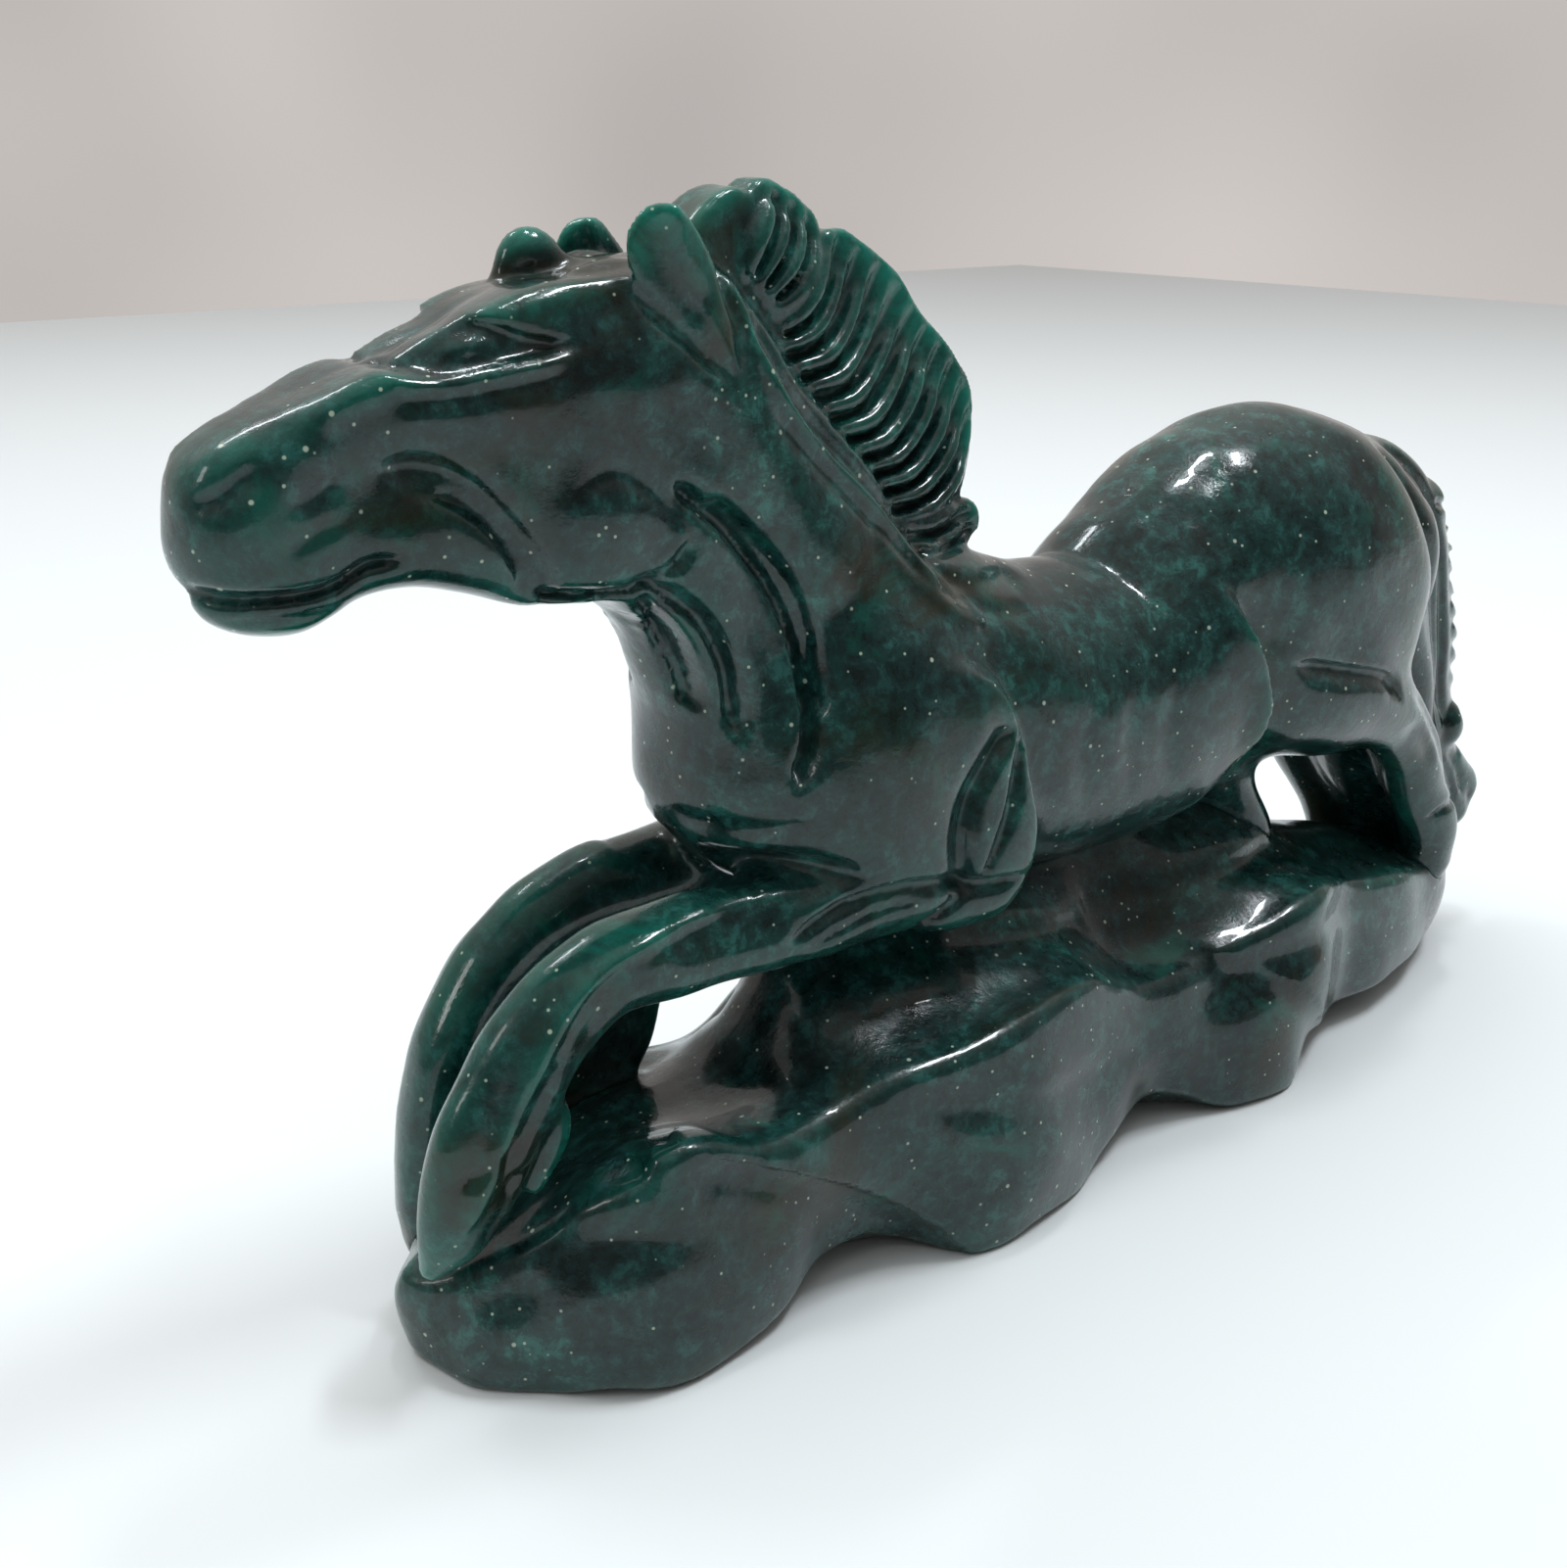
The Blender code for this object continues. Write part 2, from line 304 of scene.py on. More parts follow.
def detail_body(clay):
    # muscle lines of the neck: two double channels and the serrated throat line
    clay.score(((-57.5, 91), (-53.5, 88), (-49.4, 84.4), (-45.6, 79.6), (-43.2, 74),
                (-42.6, 68), (-43.4, 62.5), (-45.6, 58)), 2.6, 0.6, far_width=0.9, fade=0.07)
    clay.score(((-53.6, 89.6), (-49.4, 86.2), (-45.2, 81.6), (-42.4, 76.4), (-41.4, 70.6),
                (-41.9, 65)), 2.0, 0.5, far_width=1.1, fade=0.1)
    clay.score(((-61, 82.4), (-57, 80), (-53.2, 76.6), (-50.6, 72), (-49.7, 67), (-49.6, 63)),
               2.0, 0.55, far_width=1.1, fade=0.15, plane=2)
    clay.score(((-60.4, 80.6), (-57.6, 78), (-55, 74.4), (-53.1, 70), (-52.3, 66)), 1.7, 0.5,
               far_width=0.8, fade=0.15, plane=2)
    for i in range(9):
        z = 76.5 - 1.3 * i
        x = -57.6 + 0.42 * i
        clay.score(((x - 2.4, z + 0.7), (x - 0.9, z - 0.2), (x + 0.4, z - 0.9)), 0.6, 0.42,
                   fade=0.2, plane=0.5, spans=3)
    # broad hollow of the neck between the channels, and the flat plane above them
    clay.press((-62, 60), (-30, 96), lambda x, z: 0.7 * mound(x, z, -47.5, 78, 4, 9))

    # shoulder blade raised over the barrel, its rear crease and the elbow flap
    def shoulder_step(x, z):
        s, share = line_distance(x, z, smooth_path(((-29, 70), (-20.5, 66.5), (-16.8, 60),
                                                    (-14.6, 50), (-15, 37))))
        ends = smooth_step(share, 0, 0.25)
        raised = -1.3 * np.exp(-(s / 8) ** 2) * (s < 0) * smooth_step(-s, 0, 0.9)
        sunk = 1.1 * np.exp(-(s / 5) ** 2) * (s >= 0) * smooth_step(s, 0, 0.8)
        return (raised + sunk) * ends
    clay.press((-44, 33), (0, 76), shoulder_step, plane=5, soft=4)

    # two crossed lens cuts over the elbow
    clay.score(((-17.2, 61.5), (-21.5, 57.5), (-24.6, 52), (-25, 47), (-23.2, 41.5)), 1.8, 0.6,
               far_width=2.3, fade=0.15, plane=6)
    clay.score(((-17.2, 61.5), (-18.3, 55), (-20.6, 48.5), (-23.2, 43)), 1.0, 0.5,
               far_width=0.8, fade=0.15, plane=6)
    clay.score(((-48.5, 41.5), (-42, 44.3), (-35, 45.6), (-28, 44.8), (-22, 43.4), (-14.5, 43)),
               1.5, 0.6, far_width=1.6, fade=0.15, plane=6)
    clay.score(((-46.5, 40), (-41, 42), (-35, 43.2), (-28.5, 43)), 0.7, 0.5, plane=6)
    clay.score(((-23.4, 42.6), (-26.2, 40.4), (-30, 37)), 1.3, 0.55, far_width=1.2, plane=6)
    # swelling of the upper arm under the lens
    clay.press((-50, 45), (-22, 68), lambda x, z: -0.8 * mound(x, z, -35, 55, 7, 7))

    # barrel ends in a sharp ridge with the hollow of the flank behind it
    def flank_step(x, z):
        s, share = line_distance(x, z, smooth_path(BARREL_BACK_EDGE))
        ends = smooth_step(share, 0, 0.28) * (1 - 0.4 * smooth_step(share, 0.9, 1))
        raised = -1.1 * np.exp(-(s / 5) ** 2) * (s < 0)
        sunk = 2.6 * np.exp(-(s / 6.5) ** 2) * (s >= 0) * smooth_step(s, 0, 1.6)
        return (raised + sunk) * ends
    clay.press((4, 34), (42, 78), flank_step, plane=5, soft=4)

    # gaskin crease on the thigh, and the rear line of the haunch
    clay.score(((30.5, 59.3), (39.4, 57), (48.6, 54.6), (52.8, 52.4), (56, 48.5)), 1.5, 0.6,
               far_width=1.7, fade=0.2, plane=6)
    clay.score(((51, 84), (58, 78), (62.6, 70.3), (65.2, 61.7), (65.6, 54), (65.8, 48)), 1.6,
               2.6, far_width=1.2, fade=0.2, plane=2.5)
    clay.score(((17, 79), (24, 74), (29, 66), (31, 58)), 0.7, 3.5, fade=0.3, plane=5)
    # faint ribs and the hollow behind the withers
    for x0 in (-4, 3.5, 10.5):
        clay.score(((x0, 62), (x0 - 2, 54), (x0 + 1, 45)), 0.25, 1.8, fade=0.35, plane=8)


# ---------------------------------------------------------------- horse: head

HEAD_OUTLINE = ((-101, 91), (-100, 94.8), (-97.2, 97.5), (-92, 99.6), (-87, 101.4), (-82, 102.9),
                (-76.6, 105), (-72.6, 107.2), (-67, 108.8), (-62, 109.2), (-56, 109), (-49, 107.4),
                (-44, 101), (-42, 92), (-46, 83), (-52, 77), (-57, 77.2), (-61, 79),
                (-66, 79.6), (-71, 80), (-76, 81.6), (-81, 82.9), (-86, 82.7), (-89, 81.3),
                (-92, 80.4), (-95.2, 80.8), (-98, 82.3), (-100, 84.2), (-101.2, 87.5))
HEAD_WIDTH = ((-104, 5.4), (-101, 5.9), (-97, 6.6), (-92, 7.0), (-87, 6.7), (-81, 7.0),
              (-75, 8.1), (-68, 8.9), (-61, 9.2), (-54, 9.0), (-46, 8.4), (-40, 7))
EYE_UPPER = ((-84.6, 103.2), (-81.2, 104.3), (-77.6, 105.9), (-74, 106.1), (-70.6, 105),
             (-65.8, 103.7))
EYE_LOWER = ((-84.6, 103.2), (-81.4, 102.2), (-78, 102.1), (-74, 102.6), (-70, 103.1),
             (-65.8, 103.7))
EAR_OUTLINE = ((-60.6, 110.6), (-60.3, 113), (-58.6, 114.9), (-55.8, 115.3), (-53.6, 113.4),
               (-51.8, 110.8), (-50.5, 107.5), (-49.4, 103.4), (-49.6, 100.2), (-53, 103.2),
               (-56.9, 106.6), (-59.6, 108.6))


def head_width(x, z, edge):
    """Half width of the head: wide jaws, narrow bridge and chin, a flat facet on top."""
    width = along(x, HEAD_WIDTH)
    lip = smooth_step(-x, 84, 92)
    top = smooth_step(z, 99, 111)
    bottom = smooth_step(-z, -90, -79)
    return width - (2.4 + 0.2 * lip) * top - (1.2 + 1.2 * lip) * bottom


def head_rounding(x, z):
    """Crisp along the forehead, soft around the muzzle and the jaw."""
    muzzle = smooth_step(-x, 86, 97)
    jaw = smooth_step(-z, -92, -84)
    return 1.5 + 4.4 * muzzle + 3.0 * jaw * (1 - muzzle)


def carve_head(clay):
    outline = smooth_path(HEAD_OUTLINE, 5, closed=True)
    clay.relief(outline, head_width, head_rounding, 5)
    for side in BOTH:
        clay.ball((-63.6, side * 5.4, 87.2), (7.4, 4.4, 7.4), 1.6)
    clay.ball((-94.4, 0, 83.2), (5, 4.4, 2.8), 1.5, -0.06)


def detail_head(clay):
    # hollow between the bridge, the cheek bone and the lips
    clay.press((-98, 84), (-66, 104), lambda x, z: 0.9 * mound(x, z, -84, 92.5, 6, 4.5))
    clay.press((-92, 88), (-62, 104), lambda x, z: -0.7 * mound(x, z, -80, 98.2, 8, 2.4))
    # edge of the flat facet over the bridge and the brow
    clay.score(((-97.5, 97.6), (-92, 98.9), (-86.6, 100.4), (-82, 102), (-78, 104.6),
                (-74, 106.4), (-67, 107.4), (-59.4, 108)), -0.2, 0.8, far_width=1.6)
    # almond eye: a recess under the sharp brow, the flat ball in it, a thick lower lid
    lens = smooth_path(EYE_UPPER + EYE_LOWER[::-1][1:-1], 6, closed=True)

    def socket(x, z):
        return 1.25 * smooth_step(-outline_distance(x, z, lens), -0.3, 0.8)
    clay.press((-88, 99), (-62, 110), socket, plane=4, soft=1.5)
    clay.press((-86, 99), (-62, 108), lambda x, z: -0.6 * mound(x, z, -75.8, 103.9, 4, 0.9))
    clay.score(EYE_LOWER, 0.8, 0.4, fade=0.15)
    clay.score([(x, z - 0.95) for x, z in EYE_LOWER], -0.55, 0.65, fade=0.2)
    clay.score([(x, z - 2.3) for x, z in EYE_LOWER], 0.3, 0.7, fade=0.25)
    # jaw groove sweeping from the corner of the lips, and the disc of the jaw
    clay.score(((-86, 94.7), (-80.6, 94.3), (-77, 92.6), (-74, 89.5), (-71.4, 86.1),
                (-69.3, 82), (-68.6, 79)), 1.7, 0.8, far_width=2.4, fade=0.2, plane=2)
    clay.score(((-83, 92), (-78.6, 91.2), (-74.9, 88.5), (-72.6, 85), (-71.5, 81)), 0.9, 0.7,
               plane=2)
    clay.score(((-68.4, 88.4), (-66.4, 90.9), (-62.8, 91.9), (-58.8, 89.5), (-56.2, 86.5),
                (-55.9, 83.2)), 0.5, 1.3, far_width=0.9)
    clay.score(((-71, 81.6), (-66, 80.9), (-61.6, 80.6), (-57, 82.6), (-54.6, 86)), 1.3, 0.6,
               fade=0.15, plane=3)
    # mouth, lower lip, nostrils and the slanting cuts behind them
    clay.score(((-102, 85.5), (-100.5, 85.1), (-96.5, 84.5), (-92, 84.5), (-89.1, 85),
                (-86.4, 86.4), (-82.3, 86.4)), 1.5, 0.5, far_width=0.6, fade=0.12, plane=-0.2)
    clay.score(((-101.4, 86.6), (-96.5, 86.2), (-91.5, 86.4), (-88.5, 87.2)), -0.25, 0.8)
    clay.score(((-99.5, 82.2), (-95.8, 82.6), (-91, 82.4), (-88, 83.4)), 0.45, 0.5, plane=1)
    clay.score(((-100.6, 92.4), (-98.6, 93.3), (-96.2, 94.9), (-94.6, 96.2)), 0.8, 0.5,
               far_width=1.3, plane=1.5)
    clay.score(((-100.8, 95.4), (-98, 96.4), (-95, 97.6), (-92.6, 97.6)), -0.35, 1.1, plane=1.5)
    clay.score(((-93.4, 91.8), (-90.5, 93.2), (-87.5, 94.6)), 0.5, 0.7, far_width=1.2, plane=2)
    clay.score(((-95, 88.2), (-91, 89.8), (-88, 90.5)), 0.35, 0.9, plane=2)
    # hollow above the nostril, along the bridge
    clay.score(((-93.5, 97.3), (-87, 98.7), (-80, 99.6)), 0.5, 1.8, plane=3)


def carve_ears(clay):
    outline = smooth_path(EAR_OUTLINE, 4, closed=True)
    ridge = smooth_path(((-56.2, 115), (-54.7, 109.8), (-52, 104.8), (-49.9, 100.7)))
    middle = 7.7

    def leaf(x, z, edge):
        s, _ = line_distance(x, z, ridge)
        crest = 1.25 * np.exp(-(s / 0.75) ** 2)
        scoop = np.clip(1.2 + 0.22 * s, 0.45, 1.2)
        return np.where(s < 0, scoop + crest * 0.85, np.clip(2.0 - 0.34 * s, 0.6, 2))

    clay.relief(outline, leaf, lambda x, z: 0.7, 0.8, -middle, 4)
    clay.relief(outline + (1.4, -1.7), leaf, lambda x, z: 0.7, 0.8, middle, 4)


def detail_ears(clay):
    # the scoop in front of each ear's ridge, and the cleft between ear and neck
    scoop = smooth_path(((-58.6, 113.2), (-57.2, 109.7), (-54.2, 106.5)))

    def hollow(x, z):
        s, _ = line_distance(x, z, scoop)
        return 1.5 * np.exp(-(s / 1.5) ** 2)
    clay.press((-63, 99), (-48, 117), hollow, plane=8, soft=0.6)
    clay.score(((-60.8, 108.6), (-56.9, 105.4), (-53, 101.9), (-49.4, 98.4)), 1.2, 0.9, plane=6)
    clay.score(((-49.2, 99), (-48.4, 103.6), (-49.6, 107.6), (-51, 111)), 1.1, 0.8, plane=4)


def carve_forelock(clay):
    clay.limb(((-57, 0.5, 107.6, 2.4, 2.4), (-61.6, 2, 108.8, 2, 2), (-64.4, 3, 110.5, 2.7, 2.2),
               (-66.2, 3.4, 108.6, 2.0, 1.7)), 0.6)
    clay.limb(((-54, 4, 108, 2, 1.8), (-57.4, 4.4, 109.6, 1.4, 1.3), (-60, 4.6, 109.2, 1, 1)), 0.8)
    clay.limb(((-55, -2.5, 107.8, 2, 2), (-59, -3, 109, 1.4, 1.4), (-62.4, -3.2, 108.8, 1, 1)),
              0.8)


# ---------------------------------------------------------------- horse: mane

MANE_OUTLINE = ((-46, 101), (-41.5, 107.5), (-38, 106.5), (-35, 108.5), (-33.4, 111.4),
                (-30, 112.2), (-27.6, 111), (-24.4, 109), (-21.6, 107), (-18.8, 103.6),
                (-17.2, 102), (-15.2, 100), (-13.4, 97.8), (-11.9, 96), (-10.8, 93.2),
                (-10.7, 88.6), (-12.6, 84.4), (-13.4, 83), (-11, 82.2), (-9.9, 80.6),
                (-10.4, 78.6), (-14, 77.6), (-20, 76), (-27, 75), (-36, 84), (-44, 94))
TUFT_OUTLINE = ((-53, 104), (-52.4, 109), (-50.6, 113), (-47.4, 115.6), (-44.4, 116.5),
                (-42.8, 116), (-41.6, 117.1), (-39.6, 117.2), (-37.9, 116.4), (-36.5, 115.9),
                (-35, 114.8), (-33.7, 113.9), (-33, 112.4), (-33.4, 110.4), (-35, 107),
                (-38.5, 103.5), (-44, 98))
# each strand of the mane, root to tip, in the side view
MANE_STRANDS = (
    ((-38.8, 103.0), (-35.4, 105.8), (-33.2, 109), (-31.4, 112.2)),
    ((-40.6, 101.4), (-36.6, 101.9), (-33.0, 104.4), (-30.4, 108.4), (-29.2, 111.4)),
    ((-38.9, 99.3), (-34.7, 99.6), (-30.9, 102.1), (-28.0, 106.2), (-26.2, 110.0)),
    ((-37.9, 97.2), (-32.6, 97.7), (-28.8, 100.2), (-25.6, 104.2), (-23.2, 108.2)),
    ((-36.0, 94.7), (-30.4, 95.3), (-26.7, 97.8), (-23.2, 101.8), (-20.6, 105.4)),
    ((-34.7, 92.5), (-28.9, 92.9), (-25.0, 95.4), (-21.6, 99.6), (-18.6, 103.2)),
    ((-31.6, 90.2), (-26.6, 90.8), (-22.7, 93.3), (-19.4, 97.6), (-16.8, 101.4)),
    ((-29.8, 88.3), (-24.4, 88.6), (-20.5, 91.1), (-17.4, 95.4), (-14.9, 99.6)),
    ((-28.3, 86.4), (-23.0, 86.6), (-18.9, 89.1), (-15.6, 92.9), (-13.3, 97.4)),
    ((-27.2, 84.5), (-21.8, 84.5), (-17.4, 86.6), (-13.8, 90.3), (-11.9, 94.6)),
    ((-25.8, 82.3), (-20.6, 82.4), (-16.4, 84.0), (-12.9, 87.3), (-11.3, 90.6)))
TUFT_STRANDS = (
    ((-43.6, 108.8), (-42.4, 111.6), (-41.0, 114), (-40.2, 116.4)),
    ((-42.4, 107.4), (-40.5, 110), (-38.8, 112.4), (-38.0, 115.6)),
    ((-41.2, 106.4), (-38.4, 108.8), (-36.5, 111.6), (-35.8, 114.6)),
    ((-40, 105), (-36.6, 107.4), (-34.7, 110), (-34, 112.8)))
WITHER_TUFT = (
    ((-24.4, 81.2), (-20, 81), (-15.6, 81.7), (-12, 82)),
    ((-24, 79.4), (-19, 78.9), (-14.6, 79.5), (-10.9, 80.6)),
    ((-22, 77.8), (-18, 77.1), (-14.4, 77.5), (-11.2, 78.6)))
# neighbouring strands differ a little in thickness
GIRTH_RHYTHM = (1.0, 0.86, 1.06)
MANE_FOOT = ((-50, 110), (-46, 101), (-43.2, 95.9), (-38.5, 91.2), (-32, 85.5), (-26.3, 79.3),
             (-21, 74.5))


def carve_mane(clay):
    foot = smooth_path(MANE_FOOT)

    def fin(x, z, edge):
        """Half width of the mane, thick at its foot and thin along its rim."""
        s, _ = line_distance(x, z, foot)
        return np.clip(4.0 - 0.16 * np.abs(s), 1.25, 4.0)

    clay.relief(smooth_path(MANE_OUTLINE, 4, closed=True), fin, lambda x, z: 0.9, 1.2)
    clay.relief(smooth_path(TUFT_OUTLINE, 4, closed=True), fin, lambda x, z: 0.8, 1.0)
    for group, girth in ((MANE_STRANDS, 1.5), (TUFT_STRANDS, 1.4), (WITHER_TUFT, 1.2)):
        for i, line in enumerate(group):
            carve_strand(clay, line, girth * GIRTH_RHYTHM[i % len(GIRTH_RHYTHM)], foot)


def carve_strand(clay, line, girth, foot):
    """One strand lying on each face of the fin, closing over the rim at its tip."""
    flat = resample(smooth_path(line, 5), np.linspace(0, 0.93, 9))
    s, _ = line_distance(flat[:, 0], flat[:, 1], foot)
    depth = np.clip(4.5 - 0.19 * np.abs(s), 1.0, 4.4)
    share = arc_positions(flat) / arc_positions(flat)[-1]
    depth = depth * (1 - 0.35 * smooth_step(share, 0.72, 1))
    for side in BOTH:
        points = np.column_stack([flat[:, 0], side * depth, flat[:, 1]])
        clay.strand(points, girth, 0.9, 0.2, 2)


def detail_mane(clay):
    # deep dark valleys between neighbouring strands
    for group in (MANE_STRANDS, TUFT_STRANDS, WITHER_TUFT):
        for upper, lower in zip(group[:-1], group[1:]):
            shares = np.linspace(0, 1, 9)
            a = resample(smooth_path(upper), shares)
            b = resample(smooth_path(lower), shares)
            clay.score((a + b) / 2, 1.0, 0.42, fade=0.06, plane=0.6, spans=2, soft=0.8)
    # finer hair lines on the strands
    for line in MANE_STRANDS:
        fine = np.array(line) + (0.55, -0.35)
        clay.score(fine, 0.22, 0.3, fade=0.2, plane=1, spans=4)
    # the long ridges that part mane from neck
    clay.score(((-49.8, 111), (-48, 105), (-46, 101.4), (-43.2, 96.3), (-38.5, 91.2),
                (-32, 85.5), (-26.3, 79.3), (-22.6, 75)), -1.0, 0.75, far_width=1.2, fade=0.08,
               plane=2)
    clay.score(((-47.6, 105.5), (-44.6, 100.5), (-41, 95.8), (-36, 91.2), (-30, 85.6),
                (-25, 80.4), (-21, 76)), 1.2, 1.1, far_width=0.8, fade=0.08, plane=1.5)
    clay.score(((-46, 97), (-41.2, 92), (-35.5, 86.7), (-29.5, 81), (-25, 76)), 0.55, 0.9,
               fade=0.12, plane=2)
    clay.score(((-33, 83.8), (-27.5, 77.8), (-22.5, 73.4), (-17, 71)), -0.5, 1.1, fade=0.15,
               plane=2)
    # folds where the mane runs out over the withers
    clay.score(((-24, 77.4), (-18.5, 74.8), (-12, 74.2), (-6, 73.6)), 0.7, 0.9, far_width=1.4,
               fade=0.2, plane=1)
    clay.score(((-21, 74.4), (-15.5, 71.8), (-9, 71)), 0.55, 1.0, fade=0.25, plane=2)


def resample(path, shares):
    arc = arc_positions(path) / arc_positions(path)[-1]
    return np.column_stack([np.interp(shares, arc, path[:, k]) for k in range(path.shape[1])])


# ---------------------------------------------------------------- horse: legs

NEAR_FORELEG = ((-20, -9.5, 47.5, 10, 8.6), (-33, -10, 44.8, 7.6, 6.6), (-45, -9.6, 42.8, 5.3, 5),
                (-57, -9, 42.4, 4.8, 4.5), (-66, -8.6, 42.2, 4.9, 4.2), (-72, -8.2, 39, 5.5, 4.2),
                (-77, -7.8, 33, 5.7, 4), (-80.6, -7.4, 26, 5.9, 3.9), (-83, -6.8, 20, 4.4, 3.3),
                (-86, -5.4, 14, 1.3, 1.6))
FAR_FORELEG = ((-22, 10, 47, 10, 9), (-36, 9.5, 44.5, 7.2, 6.6), (-47, 9, 43.2, 5.6, 5.2),
               (-57, 8.6, 43.2, 4.8, 4.5), (-65, 8.2, 41.2, 4.6, 4.2), (-71.5, 8, 35.5, 4.6, 4),
               (-75.6, 7.8, 27.5, 4.3, 3.7), (-78, 7.6, 19, 4.2, 3.6), (-79, 7, 9, 3.8, 3.4))
NEAR_HIND_LEG = ((30, -10.5, 55, 8.6, 7.4), (41, -11.6, 52.4, 7.6, 6.8), (52, -12, 49, 6.5, 6),
                 (61, -11.8, 45.2, 5.4, 5), (68, -11.2, 38.6, 4.9, 4.4), (73, -10.6, 31, 4.5, 4),
                 (78.2, -10, 24, 4.8, 4.2), (80, -9.4, 18, 4.4, 4))
FAR_HIND_LEG = ((34, 10.5, 55, 8.4, 7.2), (46, 11.4, 51, 7, 6.4), (58, 10.6, 46.6, 5.8, 5.2),
                (67, 10, 39.5, 5, 4.4), (73, 9.4, 31, 4.5, 4), (79, 8.6, 24, 4.6, 4),
                (82, 8, 17, 4.4, 4))
FORELEG_WEB = ((-80, 27), (-76, 33), (-70, 38.5), (-60, 41), (-50, 42), (-47.4, 38),
               (-48.4, 31), (-50.4, 24), (-54.5, 18), (-60, 12), (-80, 9))
WEB_HALF_WIDTH = 2.4
WEB_MIDDLE = 8
# webs of stone behind the hind legs, before the tail and under the flank
HIND_WEB = ((60, 0, 52, 7, 9), (68, 0, 42, 6.4, 9), (76, 0, 32, 6.4, 8), (84, 0, 23, 6, 7),
            (90, 0, 16, 5, 5))
TAIL_WEB = ((71, 0, 60, 6, 7), (75.5, 0, 51, 6, 7), (79.5, 0, 43, 5.5, 7), (83, 0, 35, 5, 6))
FLANK_WEB = ((33, 0, 42, 5, 7.5), (37.5, 0, 36.6, 4.6, 7.5), (41.5, 0, 30.5, 5, 7.5))


def carve_legs(clay):
    for leg in (NEAR_FORELEG, FAR_FORELEG):
        clay.limb(leg, 3)
    for leg in (NEAR_HIND_LEG, FAR_HIND_LEG):
        clay.limb(leg, 3)
    clay.limb(HIND_WEB, 3)
    clay.limb(FLANK_WEB, 7)
    clay.limb(TAIL_WEB, 3)
    # elbow: a flat lower edge that ends in a corner behind the forearm
    clay.limb(round_limb(((-18.5, -12.5, 44, 3.6), (-19.5, -12.8, 41, 3.2),
                          (-24, -12.4, 40, 3))), 2.5)
    clay.limb(round_limb(((-20, 12, 45, 4), (-22, 12, 41, 3.4))), 3)
    # small spur of hair behind the near fetlock
    clay.limb(((-74.8, -8.2, 31.4, 2.2, 1.8), (-73, -8.6, 28, 1.8, 1.5),
               (-73.4, -8.8, 25, 1.5, 1.3), (-75.4, -8.6, 21.5, 1.2, 1.2)), 1)
    # web of stone that joins the far foreleg down to the rock
    web = smooth_path(FORELEG_WEB, 4, closed=True)
    clay.relief(web, lambda x, z, edge: np.full_like(edge, WEB_HALF_WIDTH), lambda x, z: 2.2, 4,
                WEB_MIDDLE, 6)


def detail_legs(clay):
    near = (LEFT,)
    far = (RIGHT,)
    # ridge along the top outer edge of the near forearm, over the knee and down the cannon
    clay.score(((-42, 47.2), (-54.8, 47.3), (-62.7, 46.4), (-68.5, 44.8), (-73, 41.6),
                (-77.5, 34.5), (-82, 25.5), (-85.4, 18)), -1.1, 0.8, far_width=1.1, sides=near,
               plane=5, fade=0.1)
    clay.score(((-44, 44), (-54, 44), (-62, 43.6)), 0.5, 1.6, sides=near, plane=6, fade=0.25)
    clay.score(((-66, 42.5), (-70.3, 39), (-71.4, 35.2)), 0.4, 1.2, sides=near, plane=6, fade=0.25)
    clay.score(((-73.5, 37), (-77.2, 30.2), (-81, 23.8)), 0.55, 1.1, sides=near, plane=6, fade=0.2)
    clay.score(((-85.6, 24.4), (-83.6, 26.4), (-80.3, 28), (-76.5, 29)), 0.55, 0.6, far_width=1.2,
               sides=near, plane=3)
    clay.score(((-82.4, 21.6), (-79.4, 23.6), (-75.8, 25.4)), 0.5, 0.6, sides=near, plane=4)
    clay.score(((-78.4, 26.8), (-79.6, 21.6), (-83, 16.5)), 0.6, 0.8, sides=near, plane=4)
    # chest plate, its folds above the forearm and the recess between the legs
    clay.score(((-57, 50.2), (-50, 49.9), (-43, 49.2), (-37, 47.2)), 1.6, 1.1, far_width=2.2,
               plane=3, fade=0.15)
    clay.score(((-55, 55), (-48.5, 54), (-42.5, 54.4)), 0.7, 1.3, plane=2, fade=0.25)
    clay.ball((-57, 0, 47), (7, 3.4, 5.5), 2.5, tool="take")
    clay.ball((-66, 0, 41), (7, 2.4, 4), 2, tool="take")
    # far legs are quieter: one crease along each
    clay.score(((-48, 44.4), (-58, 44.2), (-66, 41), (-72, 34), (-76, 25)), 0.4, 1.5, sides=far,
               plane=6, fade=0.25)
    clay.score(((-80.6, 22.5), (-77.4, 23.6), (-73.8, 23.4)), 0.8, 0.6, sides=far, plane=4)
    # hocks, tendons and hooves of the hind legs
    for side in BOTH:
        clay.score(((57, 45), (63.5, 42.5), (69.8, 36)), 0.5, 1.3, sides=(side,), plane=6,
                   fade=0.3)
        clay.score(((71.5, 26.5), (76.4, 28.2), (82, 27.4)), 0.85, 0.6, far_width=0.8,
                   sides=(side,), plane=5)
    clay.score(((58, 50.3), (64, 46.4), (69.6, 40.4), (75, 33)), 0.6, 1, sides=near, plane=6,
               fade=0.25)


# ---------------------------------------------------------------- horse: tail

TAIL = ((60, 0, 74, 7.5, 5.5), (68.5, 0, 72.5, 8.6, 5.4), (76, 0, 67, 8.8, 5.2),
        (80.5, 0, 58, 8.6, 5), (83.6, 0, 49, 8, 4.8), (86, 0, 41, 7.6, 4.6),
        (89.5, 0, 32, 6.4, 4.4), (95, 0, 24, 5.2, 4.2), (99, 0, 18.5, 4, 4))
TAIL_RIM = ((84, 67.8), (87.6, 62.6), (89.2, 58.7), (90.7, 54.5), (91.9, 49.8), (92.5, 46.1),
            (92.8, 42.8), (92.8, 39.4))
TAIL_TEETH = 8


